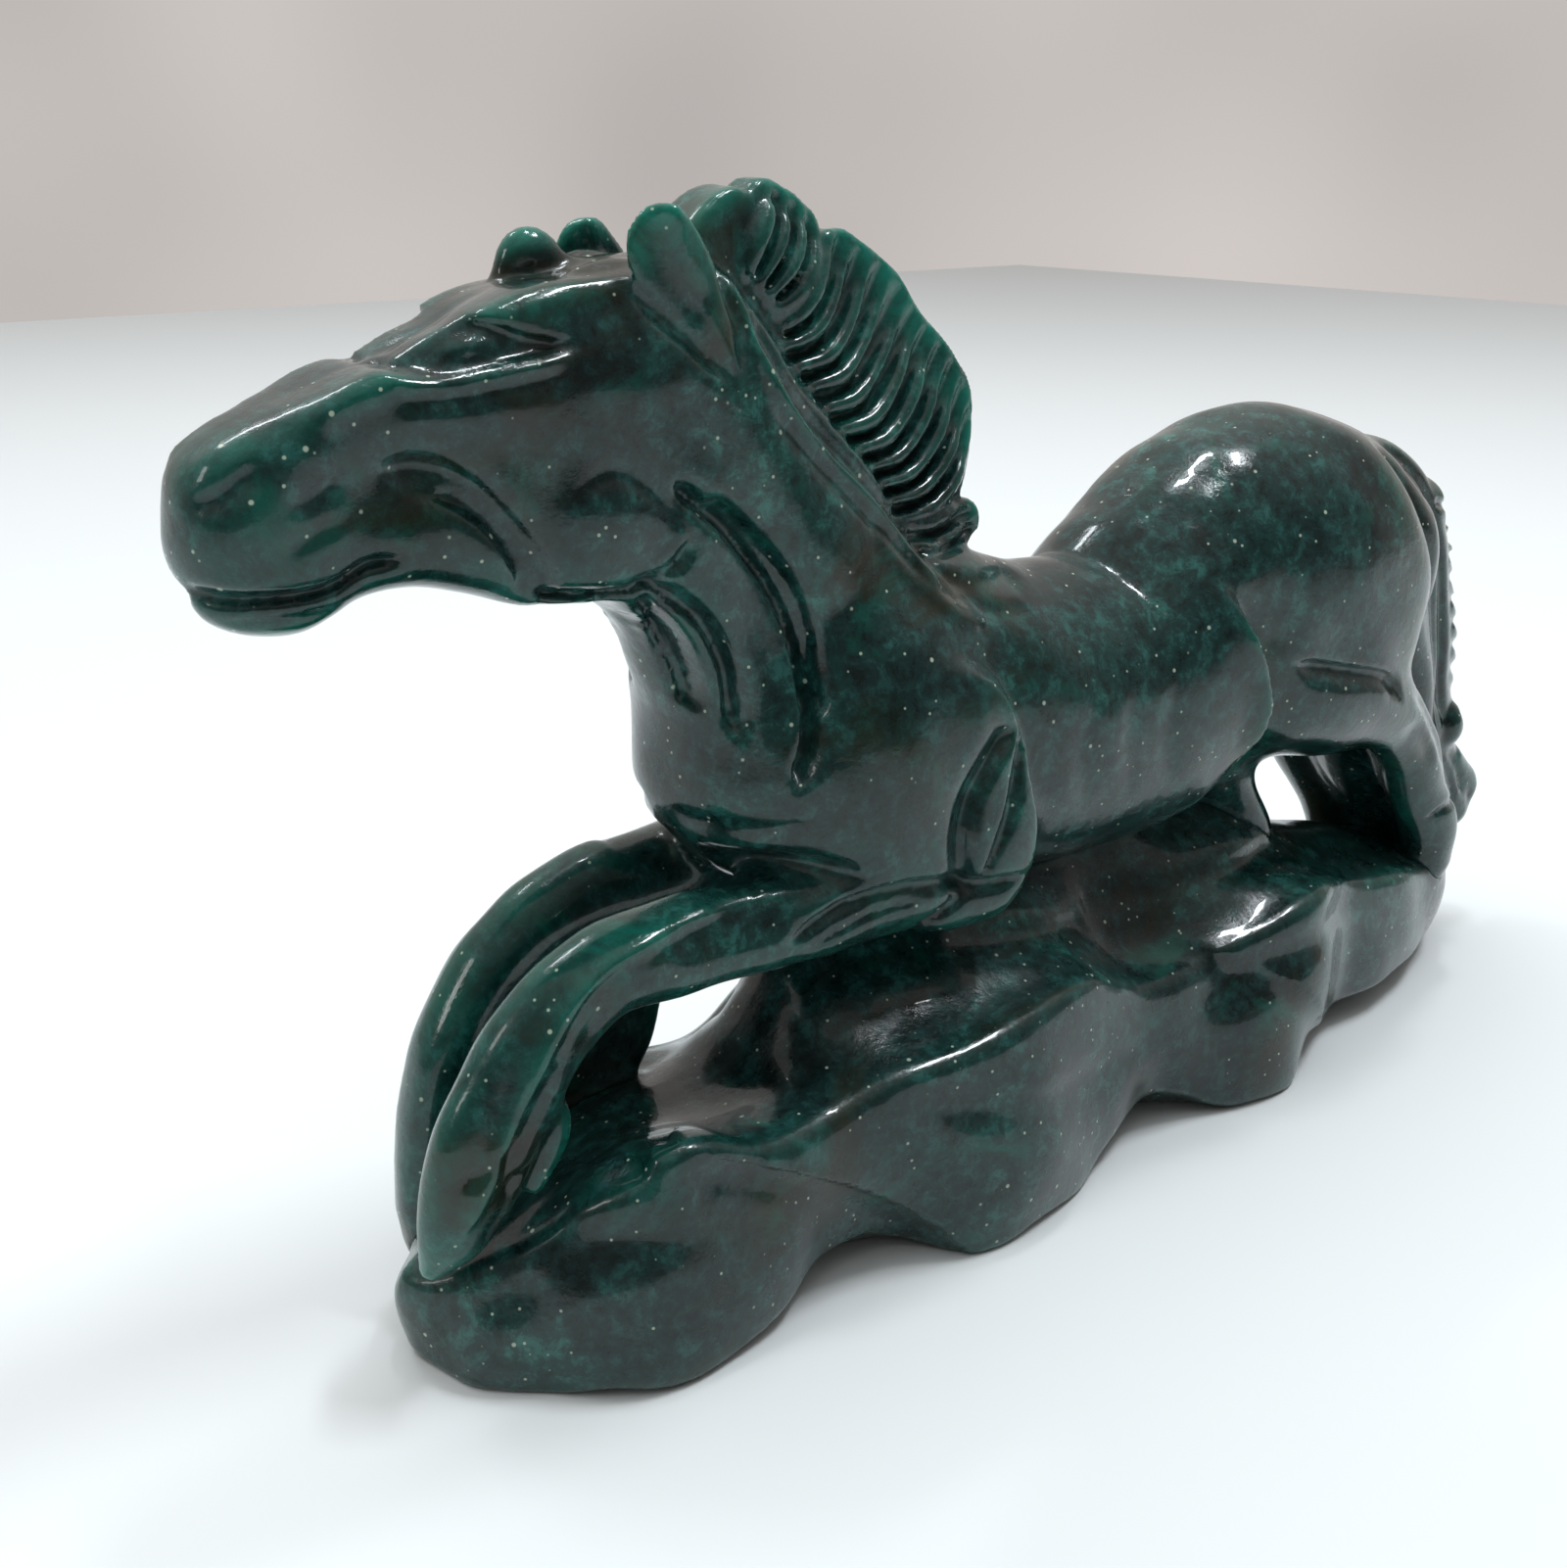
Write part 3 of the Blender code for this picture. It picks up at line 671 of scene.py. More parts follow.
def carve_tail(clay):
    clay.limb(TAIL, 3.5)
    # saw teeth along the rear rim, each a small wedge that points down
    rim = resample(smooth_path(TAIL_RIM), np.linspace(0, 1, TAIL_TEETH + 1))
    for (x0, z0), (x1, z1) in zip(rim[:-1], rim[1:]):
        clay.limb(((x0 - 2.6, 0, z0 - 0.2, 2.3, 3.8), (x0 - 1.0, 0, z0 - 1.2, 1.9, 3.2),
                   (x1 + 0.3, 0, z1 + 1.6, 0.7, 2.0)), 0.15, 4)
    clay.ball((80.6, 0, 70), (4.6, 3.9, 4.4), 1.6)
    # two curls of hair at the end of the tail
    clay.ball((91.4, -1.5, 34.8), (3.8, 4.2, 4.3), 0.7)
    clay.limb(((96, -0.5, 27.5, 3.2, 3.6), (99, -0.5, 25, 3.1, 3.4), (102, -0.5, 22.4, 2.8, 3.2),
               (101.6, -0.5, 19.4, 2.2, 2.6)), 0.8)


def detail_tail(clay):
    # strands that run down the band from the dock, parting the teeth from the haunch
    clay.score(((60, 82), (68, 79.4), (74.5, 74.8), (79.6, 67.5), (83, 59), (85.2, 50),
                (86.8, 41), (90.5, 33)), 1.0, 0.9, far_width=1.3, fade=0.15, plane=1.5)
    clay.score(((62, 79), (69, 75.8), (75, 69), (79.4, 60), (82, 51), (84, 42), (88, 32)), 0.7,
               1.2, fade=0.15, plane=1.5)
    clay.score(((79, 71.5), (82.6, 70.6), (85.4, 70)), 0.9, 0.5, plane=0.5, fade=0.15)
    for offset in (0.0, 2.6):
        clay.score(((91 - offset, 31.5), (95.4 - offset, 27), (99 - offset, 21)), 0.6, 0.6,
                   plane=0.5, fade=0.2)
    clay.score(((92.6, 37.6), (95, 35), (95.6, 32)), 0.4, 0.6, plane=0.5, fade=0.25)


# ---------------------------------------------------------------- rock

ROCK_TOP = 40.0
# how far the rock reaches sideways at the table, at mid height and at its rim
NEAR_FOOT = ((-88, -6), (-86.4, 1), (-85.2, 4.7), (-84, 8.4), (-81.5, 11.2), (-78, 14.2),
             (-73.6, 18.9), (-68.6, 21.4), (-62, 21.9), (-52, 19.6), (-43.6, 16.7), (-36, 18.4),
             (-28, 22.4), (-20, 24.4), (-11, 23), (-2, 19.6), (8, 17), (14, 18.6), (23, 22),
             (31, 22.4), (38, 20.2), (45, 17.2), (50.6, 15.4), (56, 15.2), (63, 15.2),
             (71.6, 13.2), (80, 10), (87, 6.4), (93, 2), (98, -6))
NEAR_RIM = ((-90, -9), (-87.2, 0.5), (-85.2, 4.6), (-82.2, 8), (-77.5, 12), (-72.9, 15),
            (-68.8, 17.6), (-64.9, 18.8), (-60, 19.2), (-52, 19.6), (-44, 19), (-36, 20.2),
            (-26, 22), (-16, 22), (-6, 20), (6, 17.4), (18, 18.2), (28, 20.2), (36, 20.4),
            (44, 18), (52, 15.6), (60, 15.4), (70, 14), (80, 11.4), (88, 8), (94, 4),
            (99, -2), (102, -10))
NEAR_RIM_HEIGHT = ((-92, 9), (-86, 10.6), (-82.4, 13.2), (-77.5, 16.6), (-72.9, 20.2),
                   (-68.8, 24.2), (-64.9, 26), (-60, 25.2), (-54, 22.8), (-46, 22.6), (-36, 24.6),
                   (-24, 26.2), (-14, 27.4), (-5, 27), (2, 23.6), (8, 21), (17, 21.2),
                   (26.5, 24), (34.3, 25.8), (42, 26.4), (51, 23.6), (62, 21), (73.8, 18.4),
                   (85, 15.6), (93, 13.4), (100, 11))
FAR_FOOT = ((-88.6, -6), (-86.4, 0.5), (-83, 4), (-79, 9), (-70, 16), (-60, 19),
            (-50, 17.6), (-41, 14.6),
            (-32, 17.6), (-20, 22.8), (-10, 23.4), (2, 20.4), (12, 18), (22, 21), (32, 22),
            (42, 18.4), (50, 15.4), (60, 17.2), (70, 15.4), (82, 12), (92, 8), (99.5, -2),
            (104, -10))
FAR_RIM = ((-90.4, -8), (-87.4, 0.5), (-83.6, 4.4), (-79, 8), (-70, 14), (-60, 17),
           (-50, 16.4), (-41, 15),
           (-30, 17.4), (-18, 20.6), (-6, 20.6), (8, 18), (20, 19), (32, 19.4), (44, 16.6),
           (56, 15.4), (68, 13.6), (82, 11.6), (92, 8),
           (100.5, -2), (104, -10))
FAR_RIM_HEIGHT = ((-92, 8), (-84, 10.5), (-76, 13), (-66, 16), (-58, 17), (-50, 16.4),
                  (-42, 16.4), (-32, 20), (-14, 24), (4, 21), (20, 23), (38, 23), (54, 21),
                  (70, 17), (86, 15), (99, 11))
CREST_HEIGHT = ((-92, 9), (-86, 11), (-80, 14.2), (-74, 16.6), (-66, 18.6), (-58, 19.8),
                (-51, 20.4), (-47, 22), (-44, 26), (-41, 30), (-36, 33.5), (-15, 37), (10, 37),
                (28, 36.4), (36, 36), (40.5, 34.6), (44, 31.4), (47.5, 28.6), (54, 26.8),
                (62, 24.6), (72, 21.6), (84, 18), (96, 13.5), (101, 9))


def rock_side(y, x, z, foot, rim, rim_height):
    """Distance past one side face of the rock, a stretched skin from foot to rim."""
    height = along(x, rim_height)[:, None, None]
    low = along(x, foot)[:, None, None]
    high = along(x, rim)[:, None, None]
    share = np.clip(z / height, 0, 1.3)
    bulge = 1.5 * np.sin(np.pi * np.clip(share, 0, 1))
    width = low + (high - low) * smooth_step(share, 0, 1) + bulge
    return y - width, height


def hollow_fall(share):
    """How far the rock's top has come down at a share of the way from crest to rim."""
    return smooth_step(share, 0.08, 0.92) * 0.8 + share * 0.2


def carve_rock(clay):
    cut, x, y, z = clay.window((-100, -29, -3), (110, 29, ROCK_TOP + 4))
    flat_x = x[:, 0, 0]
    near, near_rim = rock_side(-y, flat_x, z, NEAR_FOOT, NEAR_RIM, NEAR_RIM_HEIGHT)
    far, far_rim = rock_side(y, flat_x, z, FAR_FOOT, FAR_RIM, FAR_RIM_HEIGHT)
    near_edge = along(flat_x, NEAR_RIM)[:, None, None]
    far_edge = along(flat_x, FAR_RIM)[:, None, None]
    crest = along(flat_x, CREST_HEIGHT)[:, None, None]
    # the top falls from the crest to each rim in a hollow curve
    across_near = np.clip(-y / np.maximum(near_edge, 1), 0, 1)
    across_far = np.clip(y / np.maximum(far_edge, 1), 0, 1)
    top = np.where(y < 0, crest + (near_rim - crest) * hollow_fall(across_near),
                   crest + (far_rim - crest) * hollow_fall(across_far))
    d = smooth_max(near, far, 3.0)
    d = smooth_max(d, (z - top) * 0.85, 1.9)
    clay.d[cut] = np.minimum(clay.d[cut], d)


def detail_rock(clay):
    near = (LEFT,)
    far = (RIGHT,)
    # slanting overlap of the second lobe over the first, and its fellow further back
    def lobe_step(points, depth, soft):
        path = smooth_path(points)

        def profile(x, z):
            s, share = line_distance(x, z, path)
            ends = smooth_step(share, 0, 0.15)
            raised = -0.5 * depth * np.exp(-(s / soft) ** 2) * (s >= 0)
            sunk = depth * np.exp(-(s / (1.4 * soft)) ** 2) * smooth_step(-s, -0.4, 2.6)
            return (raised + sunk) * ends
        return profile
    clay.press((-72, -3), (-12, 36), lobe_step(((-66, 26.6), (-55.6, 21.6), (-44, 14.6),
                                                 (-32.4, 5.4), (-26, -2)), 1.3, 5),
               near, 8, 5)
    clay.press((2, -3), (60, 34), lobe_step(((15, 24), (24, 20.4), (33, 14.6), (41, 7),
                                             (47, -2)), 0.7, 6), near, 8, 5)
    # long soft folds along the flank of the rock
    clay.score(((-40, 24), (-22, 17.5), (-4, 14.4), (10, 14)), 1.1, 2.6, far_width=3.6, sides=near,
               plane=8, fade=0.3)
    clay.score(((-84, 17), (-72, 17.5), (-60, 15.5), (-50, 10.5)), 0.7, 2.2, far_width=3.6,
               sides=near, plane=6, fade=0.3)
    clay.score(((14, 21), (30, 20), (46, 21.6), (58, 18)), 0.9, 2.6, sides=near, plane=7, fade=0.3)
    # the far side, which is a guess: the same kinds of overlap and one fold
    clay.press((-66, -3), (0, 34), lobe_step(((-58, 21), (-46, 15), (-36, 7), (-31, -2)), 1.5, 5),
               far, 8, 5)
    clay.press((0, -3), (66, 32), lobe_step(((10, 23), (24, 17), (36, 8), (42, -2)), 1.4, 5),
               far, 8, 5)
    clay.score(((-24, 19), (-8, 15), (8, 14)), 0.9, 3, sides=far, plane=8, fade=0.3)
    # furrows on the upper slope, running back from the hooves
    furrow(clay, ((-86, -4.5, 21), (-76, -6, 22.5), (-64, -11, 25.5)), 1.1)
    furrow(clay, ((-84, -9, 20), (-76, -12, 22), (-68, -15, 24)), 0.7)
    furrow(clay, ((-70, -5, 25), (-58, -9, 27), (-44, -14, 26)), 0.7)
    furrow(clay, ((-40, -9, 33), (-20, -12, 33.5), (2, -14, 29)), 1.3)
    furrow(clay, ((6, -12, 30), (26, -12.5, 30), (44, -12, 29)), 1.0)
    furrow(clay, ((50, -8, 28), (64, -9, 25), (78, -8, 21)), 0.9)
    furrow(clay, ((-60, 7, 24), (-42, 9, 25), (-26, 12, 27)), 0.9)


def furrow(clay, points, radius):
    """A shallow rounded channel worked along 3-D points."""
    clay.limb([(*p, radius * (0.3 if i in (0, len(points) - 1) else 1) + 0.6, radius * 1.6 + 0.6)
               for i, p in enumerate(points)], 2.4, tool="take")


def undercut_rock(clay):
    """The sole: flat where lobes touch the table, hollowed between them on both sides."""
    cut, x, y, z = clay.window((-100, -29, -3), (110, 29, 12))
    flat_x = x[:, 0, 0]
    reach_near = along(flat_x, NEAR_FOOT)
    reach_far = along(flat_x, FAR_FOOT)
    lift_near = 4.2 * smooth_step(-reach_near, -22.4, -17)
    lift_far = 3.6 * smooth_step(-reach_far, -21.5, -15.5)
    ends = smooth_step(flat_x, -78, -68) * smooth_step(-flat_x, -97, -84)
    lift = np.where(y < 0, (lift_near * ends)[:, None, None], (lift_far * ends)[:, None, None])
    edge = np.where(y < 0, reach_near[:, None, None] + y, reach_far[:, None, None] - y)
    sole = lift * np.exp(-(np.maximum(edge, 0) / 3.4) ** 2)
    d = smooth_max(clay.d[cut], sole - z, 1.2)
    clay.d[cut] = np.maximum(d, SOLE_HEIGHT - z)


# ---------------------------------------------------------------- from clay to stone

def hand_carved(clay, seed, amount, scale):
    """Add the slight unevenness of a hand-polished skin."""
    rng = np.random.default_rng(seed)
    x, y, z = (axis[:, None, None] if i == 0 else axis[None, :, None] if i == 1
               else axis[None, None, :] for i, axis in enumerate(clay.axes))
    for _ in range(7):
        k = rng.normal(0, 1, 3)
        k *= 2 * math.pi / (scale * rng.uniform(0.7, 1.5) * np.linalg.norm(k))
        phase = rng.uniform(0, 2 * math.pi)
        turn = np.exp(1j * (k[0] * x + phase)) * np.exp(1j * k[1] * y)
        clay.d += amount / 2.6 * (turn * np.exp(1j * k[2] * z)).real.astype(np.float32)


def soften(d):
    """Ease the skin by one round of neighbour averaging."""
    core = d[1:-1, 1:-1, 1:-1]
    around = (d[2:, 1:-1, 1:-1] + d[:-2, 1:-1, 1:-1] + d[1:-1, 2:, 1:-1]
              + d[1:-1, :-2, 1:-1] + d[1:-1, 1:-1, 2:] + d[1:-1, 1:-1, :-2]) / 6
    d[1:-1, 1:-1, 1:-1] = core + SOFTENING * (around - core)
    return d


def take_skin(name, d, clay):
    """Turn a field of distances into a smooth-shaded mesh object, in metres."""
    grid = openvdb.FloatGrid(background=MARGIN)
    grid.copyFromArray(np.clip(d, -MARGIN, MARGIN).astype(np.float32))
    points, triangles, quads = grid.convertToPolygons(isovalue=0.0, adaptivity=0.0)
    corner = np.array([axis[0] for axis in clay.axes])
    points = (points * clay.step + corner + (-CENTRE_X, 0, 0)) * MM
    faces = [tuple(f[::-1]) for f in triangles.tolist()] + [tuple(f[::-1]) for f in quads.tolist()]
    mesh = bpy.data.meshes.new(name)
    mesh.from_pydata(points.tolist(), [], faces)
    mesh.shade_smooth()
    mesh.validate()
    made = bpy.data.objects.new(name, mesh)
    bpy.context.scene.collection.objects.link(made)
    return made


def carve_horse(clay):
    carve_body(clay)
    carve_legs(clay)
    carve_tail(clay)
    carve_head(clay)
    clay.even()
    detail_body(clay)
    detail_legs(clay)
    detail_head(clay)
    detail_tail(clay)
    carve_mane(clay)
    detail_mane(clay)
    carve_ears(clay)
    detail_ears(clay)
    carve_forelock(clay)


def carve_stone():
    """The horse and its rock, cut apart in the crease where their distances are equal."""
    horse = Clay(BLOCK_LOW, BLOCK_HIGH, GRAIN)
    rock = Clay(BLOCK_LOW, BLOCK_HIGH, GRAIN)
    carve_horse(horse)
    carve_rock(rock)
    rock.even()
    detail_rock(rock)
    undercut_rock(rock)
    hand_carved(horse, 7, 0.16, 11)
    hand_carved(rock, 11, 0.3, 14)
    whole = smooth_min(horse.d, rock.d, 1.6)
    parting = (horse.d - rock.d) / 2
    floor = SOLE_HEIGHT - horse.axes[2][None, None, :]
    horse_skin = np.maximum(soften(np.maximum(whole, parting - OVERLAP)), floor)
    rock_skin = np.maximum(soften(np.maximum(whole, -parting - OVERLAP)), floor)
    made = (take_skin("horse_carving", horse_skin, horse),
            take_skin("rock_carving", rock_skin, rock))
    for piece in made:
        mark_stone(piece, whole, horse)
    return made


# ---------------------------------------------------------------- jade

class Nodes:
    """Small helper that adds and links shader nodes."""

    def __init__(self, material):
        material.use_nodes = True
        self.tree = material.node_tree
        self.tree.nodes.clear()

    def add(self, kind, values=(), **settings):
        node = self.tree.nodes.new("ShaderNode" + kind)
        for key, value in settings.items():
            setattr(node, key, value)
        for key, value in dict(values).items():
            if isinstance(value, bpy.types.NodeSocket):
                self.tree.links.new(value, node.inputs[key])
            else:
                node.inputs[key].default_value = value
        return node

    def noise(self, coords, scale, detail=3.0, roughness=0.55, distortion=0.0):
        return self.add("TexNoise", {"Vector": coords, "Scale": scale, "Detail": detail,
                                     "Roughness": roughness, "Distortion": distortion})

    def ramp(self, factor, stops, interpolation="LINEAR"):
        node = self.add("ValToRGB", {"Fac": factor})
        node.color_ramp.interpolation = interpolation
        elements = node.color_ramp.elements
        while len(elements) < len(stops):
            elements.new(0.5)
        for element, (position, colour) in zip(elements, stops):
            element.position = position
            element.color = (*colour, 1) if len(colour) == 3 else colour
        return node.outputs["Color"]

    def math(self, operation, a, b=0.0, c=0.0):
        node = self.add("Math", {0: a, 1: b, 2: c}, operation=operation)
        return node.outputs[0]

    def blend(self, factor, a, b, mode="MIX"):
        node = self.add("Mix", data_type="RGBA", blend_type=mode)
        for index, value in ((0, factor), (6, a), (7, b)):
            if isinstance(value, bpy.types.NodeSocket):
                self.tree.links.new(value, node.inputs[index])
            else:
                node.inputs[index].default_value = value
        return node.outputs[2]


def grey(value):
    return (value, value, value)


def jade_material(name, shift, polish, painted_glow_strength):
    """Dark green jade: cloudy greens, brown and emerald patches, mica specks, hand polish, and a
    painted glow of light through the thin parts.
    """
    material = bpy.data.materials.new(name)
    n = Nodes(material)
    place = n.add("TexCoord").outputs["Object"]
    place = n.add("Mapping", {"Vector": place, "Location": shift}).outputs[0]

    clouds = n.noise(place, 34, 7, 0.68, 0.9).outputs[0]
    stone = n.ramp(clouds, ((0.34, (0.0022, 0.0095, 0.0092)), (0.46, (0.0052, 0.0250, 0.0235)),
                            (0.56, (0.0085, 0.040, 0.036)), (0.68, (0.012, 0.064, 0.053))))
    flecks = n.noise(place, 420, 5, 0.75, 0.3).outputs[0]
    grain = n.ramp(flecks, ((0.36, grey(0.3)), (0.52, grey(1.0)), (0.64, grey(2.6))))
    stone = n.blend(0.9, stone, grain, "MULTIPLY")

    cloud = n.noise(place, 26, 5, 0.62, 1.2).outputs[0]
    olive = n.add("Attribute", attribute_name="olive").outputs["Fac"]
    brown = n.math("MULTIPLY_ADD", olive, 0.16, cloud)
    brown = n.ramp(brown, ((0.56, grey(0)), (0.66, grey(0.9))))
    stone = n.blend(brown, stone, (0.0140, 0.0150, 0.0070, 1))
    wisp = n.noise(place, 62, 6, 0.68, 1.8).outputs[0]
    leafy = n.math("MULTIPLY", olive, n.ramp(wisp, ((0.42, grey(0)), (0.62, grey(0.8)))))
    stone = n.blend(leafy, stone, (0.014, 0.045, 0.010, 1))
    # emerald patches of the stone; on the far foreleg they are partly a painted glow of light
    # through the leg
    emerald_and_glow_patches = n.add("Attribute", attribute_name="emerald").outputs["Fac"]
    emerald = n.math("MULTIPLY_ADD", emerald_and_glow_patches, 0.22, wisp)
    emerald = n.ramp(emerald, ((0.57, grey(0)), (0.74, grey(0.85))))
    stone = n.blend(emerald, stone, (0.0035, 0.078, 0.056, 1))

    # painted glow: where the stone is thin its colour turns a brighter emerald, painted to stand
    # for light shining through it
    thin = n.add("Attribute", attribute_name="thin").outputs["Fac"]
    veil = n.noise(place, 130, 6, 0.72, 1.0).outputs[0]
    veil = n.ramp(veil, ((0.34, grey(0.2)), (0.66, grey(1.1))))
    glow = n.math("MULTIPLY", n.math("MULTIPLY", thin, painted_glow_strength), veil)
    stone = n.blend(glow, stone, (0.0060, 0.155, 0.115, 1))

    mica = 0.0
    for scale, share, core in ((330, 0.66, 0.10), (620, 0.58, 0.13)):
        specks = n.add("TexVoronoi", {"Vector": place, "Scale": scale, "Randomness": 1.0})
        chance = n.ramp(specks.outputs["Color"], ((share, grey(0)), (share + 0.02, grey(1))))
        dot = n.ramp(specks.outputs["Distance"], ((core * 0.6, grey(1)), (core, grey(0))))
        mica = n.math("MAXIMUM", mica, n.math("MULTIPLY", chance, dot))
    stone = n.blend(n.math("MULTIPLY", mica, 0.85), stone, (0.42, 0.50, 0.40, 1))

    crevice = n.add("Attribute", attribute_name="crevice").outputs["Fac"]
    smudge = n.ramp(n.noise(place, 60, 5, 0.65).outputs[0], ((0.42, grey(0)), (0.7, grey(0.22))))
    worn = n.math("MULTIPLY", crevice, 0.35)
    rough = n.math("ADD", n.math("ADD", smudge, polish), worn)

    ripple = n.noise(place, 110, 3, 0.5).outputs[0]
    pores = n.noise(place, 1100, 3, 0.7).outputs[0]
    bump = n.add("Bump", {"Height": ripple, "Strength": 0.25, "Distance": 0.0012})
    fine = n.add("Bump", {"Height": pores, "Strength": 0.2, "Distance": 0.0003,
                          "Normal": bump.outputs[0]})

    shader = n.add("BsdfPrincipled", {
        "Base Color": stone, "Roughness": rough, "IOR": 1.56, "Specular IOR Level": 0.26,
        "Normal": fine.outputs[0],
        "Subsurface Weight": 0.3, "Subsurface Radius": (0.3, 1.0, 0.65),
        "Subsurface Scale": 0.002, "Coat Weight": 0.4, "Coat Roughness": 0.04,
        "Coat IOR": 1.5})
    output = n.add("OutputMaterial")
    n.tree.links.new(shader.outputs[0], output.inputs[0])
    return material


def matte_material(name, colour, roughness):
    material = bpy.data.materials.new(name)
    n = Nodes(material)
    shader = n.add("BsdfPrincipled", {"Base Color": (*colour, 1), "Roughness": roughness})
    output = n.add("OutputMaterial")
    n.tree.links.new(shader.outputs[0], output.inputs[0])
    return material


def box_blur(volume, reach):
    """Mean over a cube of 2 reach + 1 cells each way, from running sums."""
    for axis in range(3):
        padded = np.pad(volume, [(reach + 1, reach) if i == axis else (0, 0) for i in range(3)],
                        mode="edge")
        sums = np.cumsum(padded, axis=axis, dtype=np.float64)
        count = volume.shape[axis]
        upper = np.take(sums, range(2 * reach + 1, 2 * reach + 1 + count), axis=axis)
        lower = np.take(sums, range(0, count), axis=axis)
        volume = ((upper - lower) / (2 * reach + 1)).astype(np.float32)
    return volume


def sample(volume, clay, points):
    """Trilinear reading of a volume at points in the carver's frame."""
    corner = np.array([axis[0] for axis in clay.axes])
    at = (points - corner) / clay.step
    low = np.clip(np.floor(at).astype(int), 0, np.array(volume.shape) - 2)
    t = np.clip(at - low, 0, 1)
    total = 0
    for i in (0, 1):
        for j in (0, 1):
            for k in (0, 1):
                weight = (np.where(i, t[:, 0], 1 - t[:, 0]) * np.where(j, t[:, 1], 1 - t[:, 1])
                          * np.where(k, t[:, 2], 1 - t[:, 2]))
                total = total + weight * volume[low[:, 0] + i, low[:, 1] + j, low[:, 2] + k]
    return total


# clouds in the stone: centre and reach in the carver's frame, and strength. The emerald clouds are
# patches of the stone's own emerald; the strong one on the far foreleg also paints the bright
# green glow of light through that thin leg.
EMERALD_AND_GLOW_CLOUDS = (((-94, -4, 92), (11, 9, 8), 0.55), ((-75, 9, 30), (12, 6, 22), 1.0),
                  ((-66, -9, 42), (16, 7, 8), 0.45), ((-17, -15, 46), (8, 8, 14), 0.4),
                  ((-40, -8, 76), (9, 9, 8), 0.25), ((20, -18, 46), (12, 8, 7), 0.45),
                  ((88, 0, 50), (8, 8, 30), 0.5), ((-70, -18, 18), (14, 10, 6), 0.3),
                  ((-30, -20, 14), (16, 10, 8), 0.3), ((30, -18, 12), (18, 10, 8), 0.25),
                  ((-78, -6, 104), (7, 4, 3), 0.7))
OLIVE_CLOUDS = (((57, -13, 62), (6, 8, 17), 0.8), ((26, -16, 52), (4, 8, 11), 0.6),
                ((-78, -7, 93), (9, 6, 5), 0.5), ((-30, -14, 60), (12, 8, 7), 0.4),
                ((-55, -18, 16), (12, 8, 3), 0.4), ((50, 13, 60), (8, 8, 14), 0.5))


def cloud_strength(points, clouds):
    total = np.zeros(len(points))
    for centre, reach, strength in clouds:
        total += strength * np.exp(-(((points - centre) / reach) ** 2).sum(1))
    return np.clip(total, 0, 1)


def mark_stone(made, whole, clay):
    """Store at each vertex how thin the stone is, which sets the painted glow of light through it,
    how creviced it is, and its clouds of colour.
    """
    mesh = made.data
    points = np.empty(len(mesh.vertices) * 3)
    mesh.vertices.foreach_get("co", points)
    points = points.reshape(-1, 3) / MM + (CENTRE_X, 0, 0)
    solid = np.clip(0.5 - whole / clay.step, 0, 1)
    wide = box_blur(box_blur(solid, round(3 / clay.step)), round(2.5 / clay.step))
    close = box_blur(box_blur(solid, round(1.2 / clay.step)), round(1.0 / clay.step))
    marks = {"thin": smooth_step(-sample(wide, clay, points), -0.46, -0.14),
             "crevice": smooth_step(sample(close, clay, points), 0.55, 0.72),
             "emerald": cloud_strength(points, EMERALD_AND_GLOW_CLOUDS),
             "olive": cloud_strength(points, OLIVE_CLOUDS)}
    for key, values in marks.items():
        layer = mesh.attributes.new(key, "FLOAT", "POINT")
        layer.data.foreach_set("value", values.astype(np.float32))


# ---------------------------------------------------------------- stage

def soft_light(name, place, aim, size, power, colour=(1, 1, 1), mirrored_in_stone=True):
    data = bpy.data.lights.new(name, "AREA")
    data.shape = "RECTANGLE"
    data.size, data.size_y = size
    data.energy = power
    data.color = colour
    lamp = bpy.data.objects.new(name, data)
    bpy.context.scene.collection.objects.link(lamp)
    lamp.location = place
    lamp.rotation_euler = (Vector(aim) - Vector(place)).to_track_quat("-Z", "Y").to_euler()
    lamp.visible_glossy = mirrored_in_stone
    return lamp


def build_stage():
    bpy.ops.mesh.primitive_plane_add(size=2.4, location=(0, 0, 0))
    table = bpy.context.object
    table.name = "table_top"
    table.data.materials.append(matte_material("pale_table", (0.71, 0.75, 0.76), 0.75))


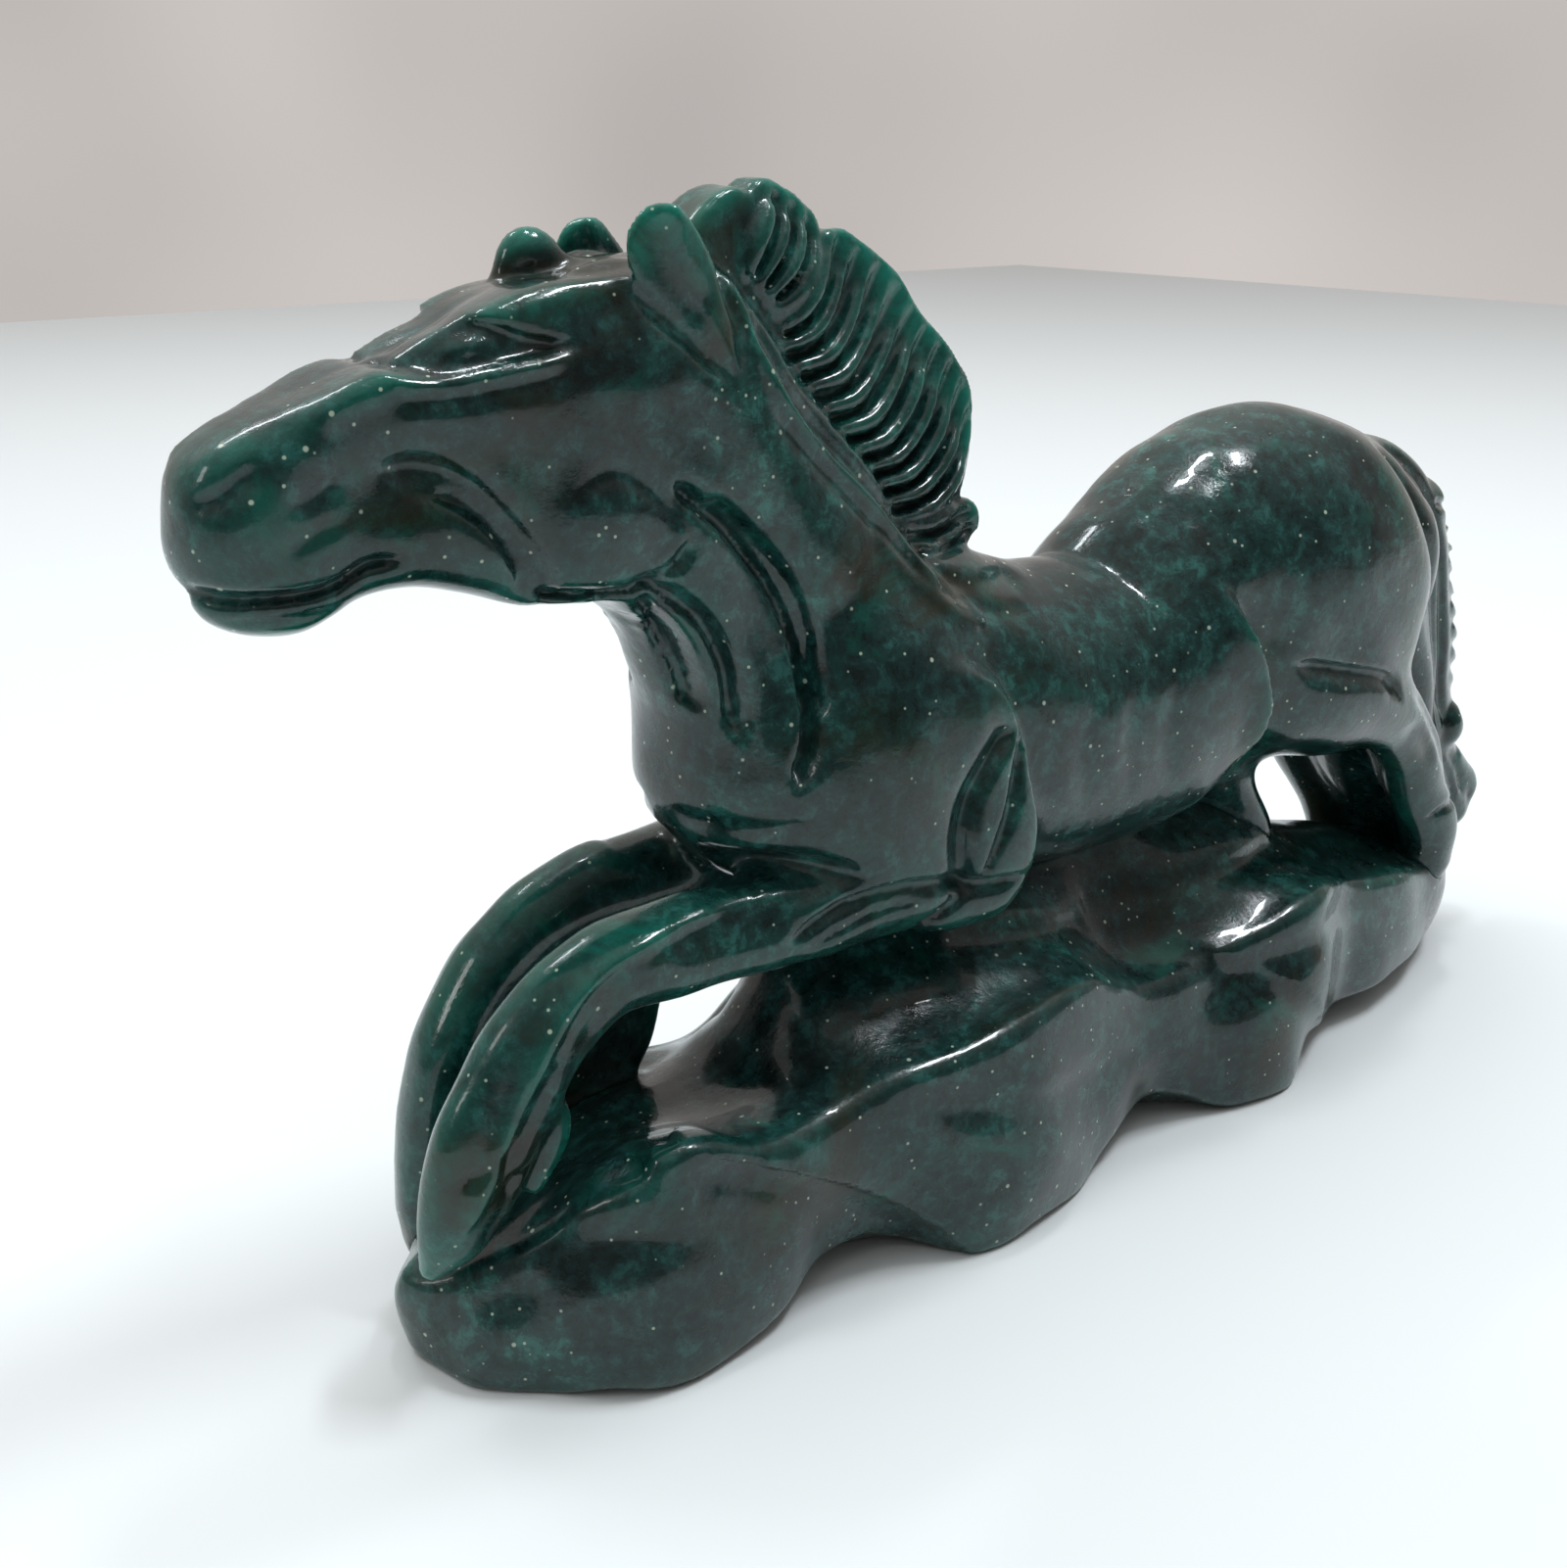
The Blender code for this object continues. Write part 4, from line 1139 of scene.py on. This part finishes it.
def build_room():
    """A plain warm room: light walls behind, dim towards the viewer, a brighter ceiling."""
    world = bpy.data.worlds.new("room")
    bpy.context.scene.world = world
    n = Nodes(world)
    ray = n.add("TexCoord").outputs["Generated"]
    parts = n.add("SeparateXYZ", {0: ray})
    depth = n.math("ADD", n.math("MULTIPLY", parts.outputs["Y"], 0.85),
                   n.math("MULTIPLY", parts.outputs["X"], 0.35))
    wall = n.add("MapRange", {"Value": depth, 1: -0.6, 2: 0.8, 3: 0.15, 4: 0.66},
                 interpolation_type="SMOOTHSTEP").outputs[0]
    ceiling = n.add("MapRange", {"Value": parts.outputs["Z"], 1: 0.3, 2: 0.95, 3: 0.0, 4: 0.35},
                    interpolation_type="SMOOTHSTEP").outputs[0]
    patches = n.noise(ray, 2.2, 2, 0.5).outputs[0]
    uneven = n.add("MapRange", {"Value": patches, 1: 0.35, 2: 0.65, 3: 0.8, 4: 1.15}).outputs[0]
    strength = n.math("MULTIPLY", n.math("ADD", wall, ceiling), uneven)
    glow = n.add("Background", {"Color": (0.88, 0.82, 0.79, 1), "Strength": strength})
    output = n.add("OutputWorld")
    n.tree.links.new(glow.outputs[0], output.inputs[0])


def build_lights():
    cold = (0.90, 0.95, 1)
    soft_light("soft_overhead", (-0.1, 0.1, 1.1), (0, 0, 0), (1.6, 1.2), 7.6, (0.94, 0.99, 1),
               mirrored_in_stone=False)
    soft_light("ceiling_lamp", (0.30, -0.16, 0.95), (0, 0, 0.05), (0.26, 0.07), 4.2, cold)
    soft_light("ceiling_lamp_middle", (0.12, 0.10, 0.98), (0, 0, 0.05), (0.10, 0.06), 1.5, cold)
    soft_light("ceiling_lamp_far", (-0.15, 0.62, 0.85), (0, 0, 0.05), (0.24, 0.05), 1.0, cold)
    soft_light("window", (-1.3, 0.2, 0.75), (0, 0, 0.05), (0.25, 0.4), 2.2, (1, 0.99, 0.98))


CAMERA_PLACE = (-0.14764, -0.14184, 0.12024)
CAMERA_TILT = math.radians(69.5)
CAMERA_TURN = math.radians(-37.6)
SENSOR_MM = 36
LENS_MM = 39.35


def build_camera():
    data = bpy.data.cameras.new("viewpoint")
    data.sensor_width = SENSOR_MM
    data.lens = LENS_MM
    data.clip_start = 0.01
    camera = bpy.data.objects.new("viewpoint", data)
    bpy.context.scene.collection.objects.link(camera)
    camera.location = CAMERA_PLACE
    camera.rotation_euler = (CAMERA_TILT, 0, CAMERA_TURN)
    bpy.context.scene.camera = camera


def main():
    horse, rock = carve_stone()
    horse.data.materials.append(jade_material("polished_jade", (0, 0, 0), 0.15, 1.3))
    rock.data.materials.append(jade_material("polished_rock_jade", (0.3, 0.1, 0.2), 0.2, 0.4))
    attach(horse, "root")
    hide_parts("horse")
    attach(rock, "root")
    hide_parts("rock_base")
    build_stage()
    build_room()
    build_lights()
    build_camera()
    bpy.context.scene.view_settings.view_transform = "Standard"


main()
